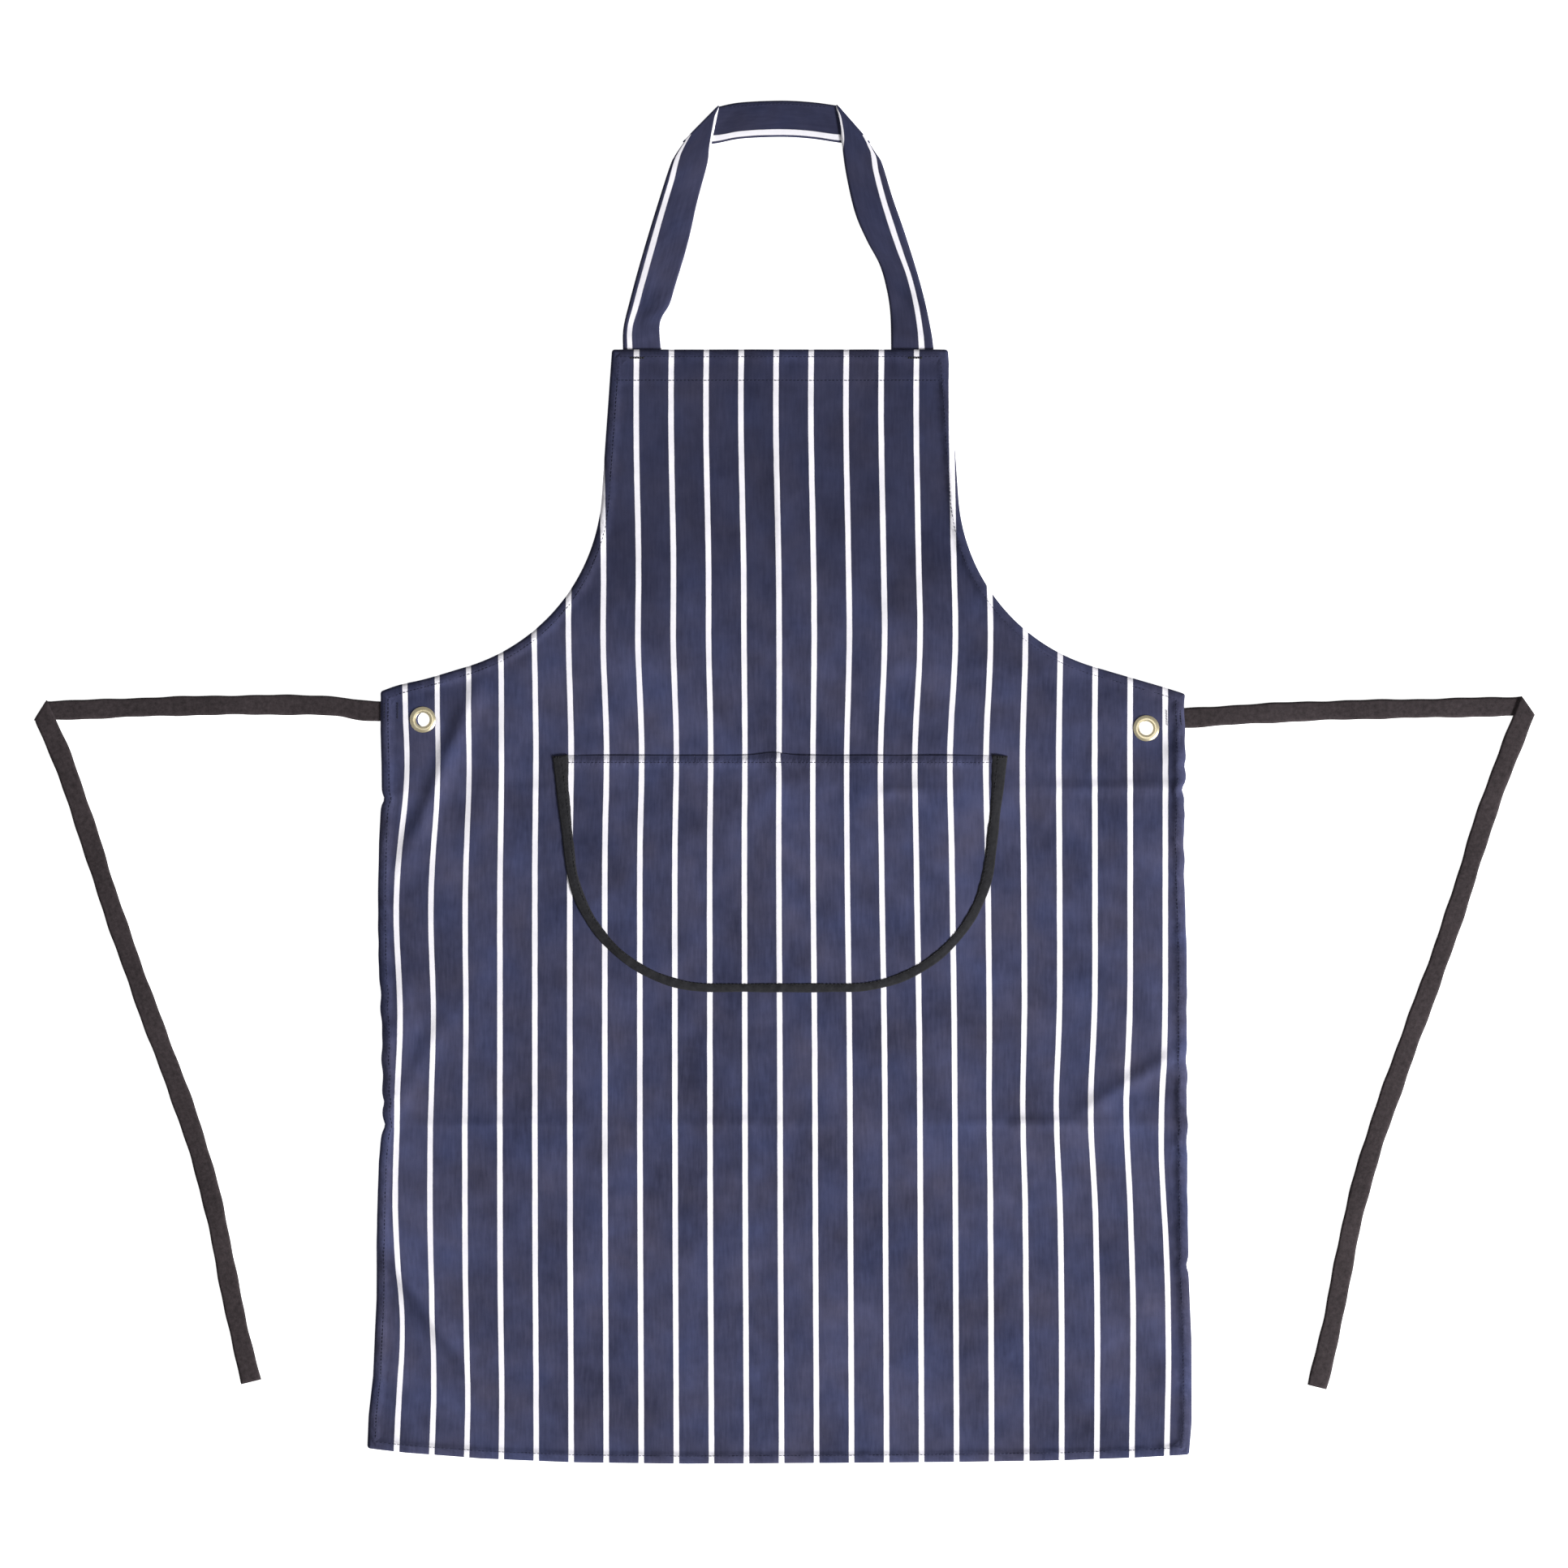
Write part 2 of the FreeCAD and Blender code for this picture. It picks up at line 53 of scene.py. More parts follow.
# Heights above the table, in millimetres: the apron's face and the cloth that makes it.
LOW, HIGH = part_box("skirt_panel")
FACE = HIGH[2] / MM
CLOTH = 0.6
HEM_Y = LOW[1] / MM
SKIRT_HALF = HIGH[0] / MM
FOLD_Y = (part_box("bib_panel")[0][1] + HIGH[1]) / 2 / MM
ARMHOLE_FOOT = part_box("bib_panel")[1][0] / MM
BIB_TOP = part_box("bib_panel")[1][1] / MM
BIB_HALF = 146.0
CORNER_Y = 77.0
ARMHOLE_HALF = 155.0
ARMHOLE_TOP = 247.0
STRIPE_PITCH = 30.5
STRIPE_WIDTH = 4.7


def linked(name, data):
    """A new object in the scene."""
    made = bpy.data.objects.new(name, data)
    bpy.context.scene.collection.objects.link(made)
    return made


# ------------------------------------------------------------------ camera, floor and light
def make_stage():
    lens, sensor, view_width = 85.0, 36.0, 1.366
    camera = bpy.data.cameras.new("camera")
    camera.lens = lens
    camera.sensor_width = sensor
    camera.clip_end = 20.0
    eye = linked("camera", camera)
    eye.location = (3.5 * MM, -2.0 * MM, view_width * lens / sensor)
    bpy.context.scene.camera = eye
    bpy.context.scene.view_settings.view_transform = "Standard"

    half = 30.0
    corners = [(-half, -half, 0), (half, -half, 0), (half, half, 0), (-half, half, 0)]
    mesh = bpy.data.meshes.new("floor")
    mesh.from_pydata(corners, [], [(0, 1, 2, 3)])
    floor = linked("floor", mesh)
    paper = bpy.data.materials.new("floor_white")
    paper.use_nodes = True
    shader = paper.node_tree.nodes["Principled BSDF"]
    # The floor gives out light of its own, which keeps the ground white under the low key light.
    for key, value in (("Base Color", (0.93, 0.93, 0.93, 1)), ("Roughness", 0.9),
                       ("Emission Color", (1, 1, 1, 1)), ("Emission Strength", 0.75)):
        shader.inputs[key].default_value = value
    mesh.materials.append(paper)

    world = bpy.data.worlds.new("studio")
    world.use_nodes = True
    sky = world.node_tree.nodes["Background"]
    sky.inputs["Color"].default_value = (1, 1, 1, 1)
    sky.inputs["Strength"].default_value = 0.30
    bpy.context.scene.world = world
    for name, place, size, power in (
            ("key", (5.6, -3.7, 2.9), 1.9, 1120.0),
            ("overhead", (0.5, -0.3, 5.2), 2.4, 20.0)):
        light = bpy.data.lights.new(name, "AREA")
        light.size = size
        light.energy = power
        lamp = linked(name, light)
        lamp.location = place
        lamp.rotation_euler = (-Vector(place)).to_track_quat("-Z", "Y").to_euler()


# ------------------------------------------------------------------ how the cloth lies
def bell(x, y, at, reach):
    """1 at a place, falling smoothly to 0 over its reach across and along."""
    return np.exp(-((x - at[0]) / reach[0]) ** 2 - ((y - at[1]) / reach[1]) ** 2)


# How far each side edge lies to the right of its cut, in mm, at heights up the apron.
LEFT_EDGE = [(-594, -8.0), (-563, -6.8), (-521, -3.0), (-450, 0.0), (-380, 0.5), (-330, 2.0),
             (-298, 5.4), (-277, 5.4), (-210, 4.6), (-150, 1.6), (-97, 1.3), (-54, 2.2), (-8, 4.6),
             (16, 4.4), (45, 3.4), (72, 3.6), (97, 3.0), (120, 0.0)]
RIGHT_EDGE = [(-594, 5.0), (-563, 7.0), (-486, 7.0), (-430, 4.6), (-350, 3.4), (-250, 2.8),
              (-153, 3.0), (-100, 1.2), (-54, 0.2), (0, 1.4), (20, 2.0), (72, 0.4), (120, 0.0)]
# How far the bottom hem lies above its cut, in mm, across the apron.
HEM_EDGE = [(-351, 14.0), (-320, 10.0), (-260, 5.0), (-180, 1.6), (-80, 0.4), (60, 1.2),
            (160, 2.0), (250, 3.6), (310, 5.8), (351, 8.4)]
# Small dents in the edges: place, reach, and the pull across and up, in mm.
DENTS = [
    ((-351, -15), (14, 4.6), (2.6, 0.0)),
    ((-351, -279), (12, 4.4), (1.5, 0.0)),
    ((-351, -299), (14, 5.0), (1.9, 0.0)),
    ((351, -6), (12, 4.6), (-2.3, 0.0)),
    ((351, 14), (10, 4.4), (-1.2, 0.0)),
    ((351, -22), (10, 5.0), (-1.2, 0.0)),
    ((351, -421), (12, 5.0), (-1.9, 0.0)),
    ((-340, 84), (22, 12), (0.0, 2.4)),
    ((351, 80), (12, 10), (1.2, -0.8)),
]

# Where the stripes lean aside: place, reach, and how far across, in mm.
STRIPE_LEANS = [
    ((20, 330), (400, 130), -3.6),
    ((110, -40), (105, 150), -3.3),
    ((-345, 15), (70, 78), 11.5),
    ((-335, 100), (75, 38), 4.8),
    ((-338, -300), (24, 45), 1.4),
    ((-130, 20), (90, 55), 1.7),
    ((150, 20), (90, 55), -2.1),
    ((-130, 125), (90, 45), -1.4),
    ((150, 125), (90, 45), 1.4),
    ((-335, -205), (50, 66), 5.0),
    ((-352, -470), (36, 56), 8.5),
    ((-305, -535), (60, 60), 2.5),
    ((270, -285), (70, 62), -4.2),
    ((345, -330), (30, 60), -3.0),
    ((0, -620), (500, 200), 1.4),
    ((325, -480), (70, 90), 2.0),
]

# Soft ridges (+) and hollows (-): from, to, half width and height, in mm.
FOLDS = [
    ((-262, 84), (-334, -80), 8, 4.4),
    ((-318, 20), (-346, -50), 8, 1.6),
    ((-232, 60), (-270, -60), 15, 2.0),
    ((-352, -398), (-270, -512), 7.0, 6.4),
    ((-352, -470), (-318, -548), 9, 1.6),
    ((-330, -170), (-345, -285), 12, 3.2),
    ((-285, -200), (-352, -300), 9, 2.4),
    ((-268, -330), (-352, -262), 10, 1.6),
    ((262, -288), (345, -236), 6.5, 3.6),
    ((312, -170), (356, -300), 9, 2.2),
    ((262, -240), (330, -420), 12, 1.8),
    ((334, 66), (356, -66), 9, 2.2),
    ((296, -420), (352, -572), 13, 2.8),
    ((230, -470), (290, -590), 14, 1.8),
    ((112, 62), (318, -44), 20, 1.9),
    ((-130, 205), (-20, 126), 21, 1.9),
    ((-150, 290), (-50, 205), 22, 1.8),
    ((150, 180), (64, 104), 22, 1.9),
    ((-92, -240), (-196, -424), 26, 1.9),
    ((120, -232), (206, -404), 26, 1.9),
    ((-40, -300), (40, -500), 28, 1.5),
    ((-110, 340), (-46, 246), 18, 1.4),
    ((46, 336), (110, 236), 18, 1.5),
    ((-8, 300), (24, 170), 20, 1.2),
]

# Pressed creases from being folded in a packet: from, to, half width and height, in mm.
CREASES = [
    ((-1.5, 380), (1.5, -600), 3.4, 1.7),
    ((95, -8), (360, -4), 4.4, 3.8),
    ((-360, -11), (-205, -6), 4.2, 1.6),
    ((-360, -299), (360, -296), 4.2, 2.4),
    ((205, -299), (360, -297), 4.0, 3.0),
    ((-285, 100), (285, 98), 7.0, 0.8),
]


def along_segment(x, y, start, end):
    """Distance from a segment, and how far along it, 0 to 1."""
    dx, dy = end[0] - start[0], end[1] - start[1]
    t = ((x - start[0]) * dx + (y - start[1]) * dy) / (dx * dx + dy * dy)
    held = np.clip(t, 0, 1)
    return np.hypot(x - start[0] - held * dx, y - start[1] - held * dy), t


def smooth(value, low, high):
    t = np.clip((value - low) / (high - low), 0, 1)
    return t * t * (3 - 2 * t)


EYELETS = []
for NAME in ("left_eyelet", "right_eyelet"):
    corner_a, corner_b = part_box(NAME)
    EYELETS.append(((corner_a[0] + corner_b[0]) / 2 / MM, (corner_a[1] + corner_b[1]) / 2 / MM))


def ripples(x, y, seed, size, steps):
    """Slow random waves, from -1 to 1, of a typical size in mm."""
    pick = np.random.default_rng(seed)
    total = np.zeros_like(x)
    for _ in range(steps):
        heading = pick.uniform(0, math.pi)
        wave = 2 * math.pi / (size * pick.uniform(0.7, 1.5))
        swing = pick.uniform(0, 2 * math.pi)
        aside = x * math.sin(heading) - y * math.cos(heading)
        sway = 0.8 * np.sin(aside * wave * 0.43 + swing * 2)
        total += np.sin((x * math.cos(heading) + y * math.sin(heading)) * wave + swing + sway)
    return total / math.sqrt(steps * 2)


def first_relief(x, y):
    """The folds, creases and waves that the cloth has as it is put down, in mm."""
    z = np.zeros_like(x)
    for start, end, half_width, height in FOLDS:
        away, t = along_segment(x, y, start, end)
        ends = smooth(t, -0.25, 0.3) * (1 - smooth(t, 0.7, 1.25))
        z += height * np.exp(-(away / half_width) ** 2) * ends
    for start, end, half_width, height in CREASES:
        away, _ = along_segment(x, y, start, end)
        wander = 0.6 + 0.4 * np.sin(x / 37 + y / 29)
        z += height * wander * np.exp(-(away / half_width) ** 2)
    z += 0.75 * (ripples(x, y, 3, 150, 5) + 0.8)
    z += 0.50 * (ripples(x, y, 8, 62, 6) + 0.8)
    z += 0.16 * ripples(x, y, 15, 27, 6)
    return np.maximum(z, 0)


GRID = 8.0
GRID_LOW, GRID_HIGH = (-376.0, -616.0), (376.0, 400.0)
SIM_SCALE = 10.0       # the solver works on a larger copy, well above its own contact distances


def settled_relief():
    """The same cloth after it settles on the table under its own weight, on a regular grid."""
    columns = np.arange(GRID_LOW[0], GRID_HIGH[0] + 1, GRID)
    rows = np.arange(GRID_LOW[1], GRID_HIGH[1] + 1, GRID)
    gx, gy = np.meshgrid(columns, rows)
    start = first_relief(gx, gy)
    unit_size = MM * SIM_SCALE
    points = np.column_stack([gx.ravel(), gy.ravel(), start.ravel() * 1.25 + 0.6]) * unit_size
    across = len(columns)
    quads = [(r * across + c, r * across + c + 1, (r + 1) * across + c + 1, (r + 1) * across + c)
             for r in range(len(rows) - 1) for c in range(across - 1)]
    mesh = bpy.data.meshes.new("settling_cloth")
    mesh.from_pydata([tuple(map(float, p)) for p in points], [], quads)
    cloth = linked("settling_cloth", mesh)
    table = bpy.data.meshes.new("settling_table")
    table.from_pydata([(-9, -9, 0), (9, -9, 0), (9, 9, 0), (-9, 9, 0)], [], [(0, 1, 2, 3)])
    floor = linked("settling_table", table)
    contact = floor.modifiers.new("contact", "COLLISION")
    contact.settings.thickness_outer = 0.004
    contact.settings.cloth_friction = 40
    modifier = cloth.modifiers.new("cloth", "CLOTH")
    settings = modifier.settings
    settings.quality = 6
    settings.mass = 0.3
    settings.tension_stiffness = settings.compression_stiffness = 40
    settings.shear_stiffness = 20
    settings.bending_stiffness = 35
    settings.air_damping = 6
    modifier.collision_settings.distance_min = 0.004
    modifier.collision_settings.collision_quality = 3
    last = 12
    modifier.point_cache.frame_end = last
    scene = bpy.context.scene
    for frame_number in range(1, last + 1):
        scene.frame_set(frame_number)
    shaped = cloth.evaluated_get(bpy.context.evaluated_depsgraph_get())
    found = np.array([v.co for v in shaped.data.vertices])
    scene.frame_set(1)
    for thing in (cloth, floor):
        bpy.data.objects.remove(thing)
    height = found[:, 2].reshape(gx.shape) / unit_size
    height = np.clip(height - np.quantile(height, 0.06), 0, 6)
    edged = np.pad(height, 1, mode="edge")
    height = (edged[:-2, 1:-1] + 2 * edged[1:-1, 1:-1] + edged[2:, 1:-1]) / 4
    edged = np.pad(height, 1, mode="edge")
    height = (edged[1:-1, :-2] + 2 * edged[1:-1, 1:-1] + edged[1:-1, 2:]) / 4
    return columns, rows, height


COLUMNS, ROWS, SETTLED = settled_relief()
SETTLED_SHARE = 0.5     # how much of the relief follows the settled cloth
PRESSED_SHARE = 0.5     # and how much the folds keep of their pressed shape


def on_grid(x, y):
    """The settled height at any place, between the grid's points."""
    u = np.clip((x - COLUMNS[0]) / GRID, 0, len(COLUMNS) - 1.001)
    v = np.clip((y - ROWS[0]) / GRID, 0, len(ROWS) - 1.001)
    i, j = u.astype(int), v.astype(int)
    du, dv = u - i, v - j
    low = SETTLED[j, i] * (1 - du) + SETTLED[j, i + 1] * du
    high = SETTLED[j + 1, i] * (1 - du) + SETTLED[j + 1, i + 1] * du
    return low * (1 - dv) + high * dv


def relief(x, y):
    """How far the cloth stands above its flat height, in mm; it lies flat at everything sewn on."""
    x, y = np.asarray(x, float), np.asarray(y, float)
    z = SETTLED_SHARE * on_grid(x, y) + PRESSED_SHARE * first_relief(x, y)
    for centre in EYELETS:
        z = z * smooth(np.hypot(x - centre[0], y - centre[1]), 12, 34)
    strap_seams = smooth(np.abs(np.abs(x) - 117), 18, 40) + (1 - smooth(y, 340, 366))
    tie_seams = smooth(np.hypot(np.abs(x) - 342, y - 58), 12, 34)
    return np.maximum(z * np.clip(strap_seams, 0.15, 1) * tie_seams, 0)


def lie(x, y):
    """Where a point of the flat cut lies on the table, and the relief of the cloth there."""
    x, y = np.asarray(x, float), np.asarray(y, float)
    left = np.interp(y, *zip(*LEFT_EDGE)) * smooth(-x, SKIRT_HALF - 80, SKIRT_HALF)
    right = np.interp(y, *zip(*RIGHT_EDGE)) * smooth(x, SKIRT_HALF - 80, SKIRT_HALF)
    aside = left + right
    up = np.interp(x, *zip(*HEM_EDGE)) * smooth(-y, -HEM_Y - 110, -HEM_Y)
    for place, reach, pull in DENTS:
        weight = bell(x, y, place, reach)
        aside = aside + pull[0] * weight
        up = up + pull[1] * weight
    lumpy = sum(bell(x, y, place, (15, 80))
                for place in ((SKIRT_HALF, -20), (SKIRT_HALF, -270), (-SKIRT_HALF, -220)))
    aside = aside + lumpy * (0.5 * np.sin(y / 6.1) + 0.35 * np.sin(y / 3.7 + 1.3))
    return x + aside, y + up, relief(x, y)


def stripe_place(x, y, shown_x):
    """The cut's own coordinate across the stripes, for a point that lies at shown_x."""
    lean = np.zeros_like(x)
    for place, reach, aside in STRIPE_LEANS:
        lean += aside * bell(x, y, place, reach)
    return shown_x - lean


# ------------------------------------------------------------------ mesh helpers
def new_piece(name, vertices, faces, flat, material, hem=None):
    """A mesh piece from points in mm. flat gives each vertex's own place on the cloth, and hem its
    distance in from the hemmed edge with its place along it, all in mm."""
    mesh = bpy.data.meshes.new(name)
    mesh.from_pydata([tuple(float(c) * MM for c in v) for v in vertices], [], faces)
    loops = np.empty(len(mesh.loops), dtype=np.int32)
    mesh.loops.foreach_get("vertex_index", loops)
    for layer_name, places in (("cloth", flat), ("hem", hem)):
        if places is not None:
            layer = mesh.uv_layers.new(name=layer_name)
            layer.data.foreach_set("uv", (np.asarray(places, float)[loops] * MM).ravel())
    mesh.polygons.foreach_set("use_smooth", [True] * len(mesh.polygons))
    mesh.update()
    mesh.materials.append(material)
    return linked(name, mesh)


def arc_points(centre, radius, start, end, spacing):
    count = max(2, int(abs(end - start) * radius / spacing))
    return [(centre[0] + radius * math.cos(start + (end - start) * i / count),
             centre[1] + radius * math.sin(start + (end - start) * i / count))
            for i in range(count + 1)]


def rounded(points, radii, spacing, closed=True):
    """A line through the points, with the corners that have a radius rounded, in even steps."""
    result = []
    count = len(points)
    for i, corner in enumerate(points):
        radius = radii.get(i, 0)
        if not radius:
            result.append(tuple(corner))
            continue
        here = Vector(corner)
        back = (Vector(points[i - 1]) - here).normalized()
        on = (Vector(points[(i + 1) % count]) - here).normalized()
        half = back.angle(on) / 2
        reach = radius / math.tan(half)
        centre = here + (back + on).normalized() * radius / math.sin(half)
        first = here + back * reach - centre
        last = here + on * reach - centre
        start = math.atan2(first.y, first.x)
        turn = math.atan2(first.x * last.y - first.y * last.x, first.dot(last))
        result += arc_points(centre, radius, start, start + turn, spacing)
    return even(result, spacing, closed)


def even(points, spacing, closed):
    """The same line with corners kept and long runs split into even steps."""
    result = []
    pairs = list(zip(points, points[1:] + points[:1])) if closed else list(zip(points, points[1:]))
    for a, b in pairs:
        span = math.hypot(b[0] - a[0], b[1] - a[1])
        steps = max(1, round(span / spacing))
        if span < 1e-6:
            continue
        result += [(a[0] + (b[0] - a[0]) * i / steps, a[1] + (b[1] - a[1]) * i / steps)
                   for i in range(steps)]
    if not closed:
        result.append(points[-1])
    return result


def inside(points, loop):
    """Which points lie inside a closed loop."""
    x, y = points[:, 0], points[:, 1]
    found = np.zeros(len(points), bool)
    ring = np.array(loop)
    for (ax, ay), (bx, by) in zip(ring, np.roll(ring, -1, 0)):
        crosses = (ay > y) != (by > y)
        with np.errstate(divide="ignore", invalid="ignore"):
            found ^= crosses & (x < (bx - ax) * (y - ay) / (by - ay) + ax)
    return found


def distance_to(points, loop):
    """Distance of each point from a closed loop."""
    ring = np.array(loop)
    best = np.full(len(points), np.inf)
    for a, b in zip(ring, np.roll(ring, -1, 0)):
        d = b - a
        t = np.clip(((points - a) @ d) / max(d @ d, 1e-12), 0, 1)
        best = np.minimum(best, np.linalg.norm(points - a - t[:, None] * d, axis=1))
    return best


def triangulate(outline, rings, holes, spacing):
    """A flat triangle mesh inside the outline, with its edges along every ring, and open holes."""
    points, edges = [], []
    for loop in [outline] + rings + holes:
        first = len(points)
        points += [tuple(p) for p in loop]
        edges += [(first + i, first + (i + 1) % len(loop)) for i in range(len(loop))]
    ring_points = np.array(points)
    low, high = ring_points.min(0), ring_points.max(0)
    rows = np.arange(low[1], high[1], spacing * 0.866)
    grid = np.array([(x + (spacing / 2 if n % 2 else 0), y)
                     for n, y in enumerate(rows) for x in np.arange(low[0], high[0], spacing)])
    grid = grid[inside(grid, outline)]
    cells = {}
    for p in ring_points:
        cells.setdefault((int(p[0] // spacing), int(p[1] // spacing)), []).append(p)
    kept = []
    for p in grid:
        cell = (int(p[0] // spacing), int(p[1] // spacing))
        near = [q for i in (-1, 0, 1) for j in (-1, 0, 1)
                for q in cells.get((cell[0] + i, cell[1] + j), ())]
        if all((p[0] - q[0]) ** 2 + (p[1] - q[1]) ** 2 > (0.6 * spacing) ** 2 for q in near):
            kept.append(tuple(p))
    made = geometry.delaunay_2d_cdt([Vector(p) for p in points + kept], edges, [], 0, 1e-5)
    flat = np.array([(v.x, v.y) for v in made[0]])
    faces = np.array([f for f in made[2] if len(f) == 3])
    middle = flat[faces].mean(1)
    keep = inside(middle, outline)
    for hole in holes:
        keep &= ~inside(middle, hole)
    faces = faces[keep]
    a, b, c = (flat[faces[:, k]] for k in range(3))
    cross = (b[:, 0] - a[:, 0]) * (c[:, 1] - a[:, 1]) - (b[:, 1] - a[:, 1]) * (c[:, 0] - a[:, 0])
    faces[cross < 0] = faces[cross < 0][:, ::-1]
    used = np.unique(faces)
    renumber = np.full(len(flat), -1)
    renumber[used] = np.arange(len(used))
    return flat[used], renumber[faces]


def border_edges(faces):
    """Directed edges that only one triangle has."""
    seen = {}
    for f in faces:
        for a, b in ((f[0], f[1]), (f[1], f[2]), (f[2], f[0])):
            seen[(a, b)] = True
    return [(a, b) for a, b in seen if (b, a) not in seen]


def closed_cloth(flat, faces, top, bottom, bulge=0.35):
    """Top and bottom faces of a piece of cloth joined round its edge by a folded rim.
    top and bottom are arrays of points in mm; returns vertices, faces and which flat point each is."""
    count = len(flat)
    vertices = list(top) + list(bottom)
    source = list(range(count)) * 2
    polygons = [tuple(f) for f in faces] + [tuple(int(i) + count for i in f[::-1]) for f in faces]
    rim = {}
    edges = border_edges(faces)
    following = {a: b for a, b in edges}
    before = {b: a for a, b in edges}
    for a in following:
        ahead, back = top[following[a]], top[before[a]]
        along = ahead[:2] - back[:2]
        along = along / max(np.linalg.norm(along), 1e-9)
        out = np.array([along[1], -along[0], 0]) * bulge
        rim[a] = len(vertices)
        vertices.append((top[a] + bottom[a]) / 2 + out)
        source.append(int(a))
    for a, b in edges:
        polygons.append((int(b), int(a), rim[a], rim[b]))
        polygons.append((rim[b], rim[a], int(a) + count, int(b) + count))
    return vertices, polygons, source


# ------------------------------------------------------------------ materials
class Shading:
    """One material's nodes, with short names for the sums and textures they are made of."""

    def __init__(self, name):
        self.material = bpy.data.materials.new(name)
        self.material.use_nodes = True
        self.tree = self.material.node_tree
        self.shader = self.tree.nodes["Principled BSDF"]

    def give(self, node, inputs):
        """Set a node's inputs to values, or link them to other nodes' outputs."""
        for key, value in inputs.items():
            if isinstance(value, bpy.types.NodeSocket):
                self.tree.links.new(value, node.inputs[key])
            else:
                node.inputs[key].default_value = value

    def node(self, kind, inputs, **settings):
        node = self.tree.nodes.new("ShaderNode" + kind)
        for key, value in settings.items():
            setattr(node, key, value)
        self.give(node, inputs)
        return node

    def calc(self, operation, *values, clamp=False):
        inputs = dict(enumerate(values))
        return self.node("Math", inputs, operation=operation, use_clamp=clamp).outputs[0]

    def times(self, a, b, clamp=False):
        return self.calc("MULTIPLY", a, b, clamp=clamp)

    def plus(self, a, b):
        return self.calc("ADD", a, b)

    def minus(self, a, b):
        return self.calc("SUBTRACT", a, b)

    def scaled(self, a, gain, offset, clamp=False):
        return self.calc("MULTIPLY_ADD", a, gain, offset, clamp=clamp)

    def wave(self, distance, length):
        """A sine along a distance, of a length in metres."""
        return self.calc("SINE", self.times(distance, 2 * math.pi / length))

    def noise(self, place, scale, detail, roughness=0.5):
        inputs = {"Vector": place, "Scale": scale, "Detail": detail, "Roughness": roughness}
        return self.node("TexNoise", inputs).outputs["Fac"]

    def mapped(self, place, scale, turn=0.0):
        inputs = {"Vector": place, "Scale": scale, "Rotation": (0, 0, turn)}
        return self.node("Mapping", inputs).outputs[0]

    def mix(self, factor, a, b, blend="MIX"):
        inputs = {0: factor, 6: a, 7: b}
        return self.node("Mix", inputs, data_type="RGBA", blend_type=blend).outputs[2]

    def bump(self, height, strength, distance, **below):
        inputs = {"Height": height, "Strength": strength, "Distance": distance, **below}
        return self.node("Bump", inputs).outputs[0]

    def layer(self, name):
        """A place on the flat cloth, and its two distances."""
        place = self.node("UVMap", {}, uv_map=name).outputs["UV"]
        split = self.node("SeparateXYZ", {0: place})
        return place, split.outputs[0], split.outputs[1]

    def finish(self, colour, roughness, normal, **values):
        self.give(self.shader, {"Base Color": colour, "Roughness": roughness, "Normal": normal})
        self.give(self.shader, {key.replace("_", " "): value for key, value in values.items()})
        return self.material


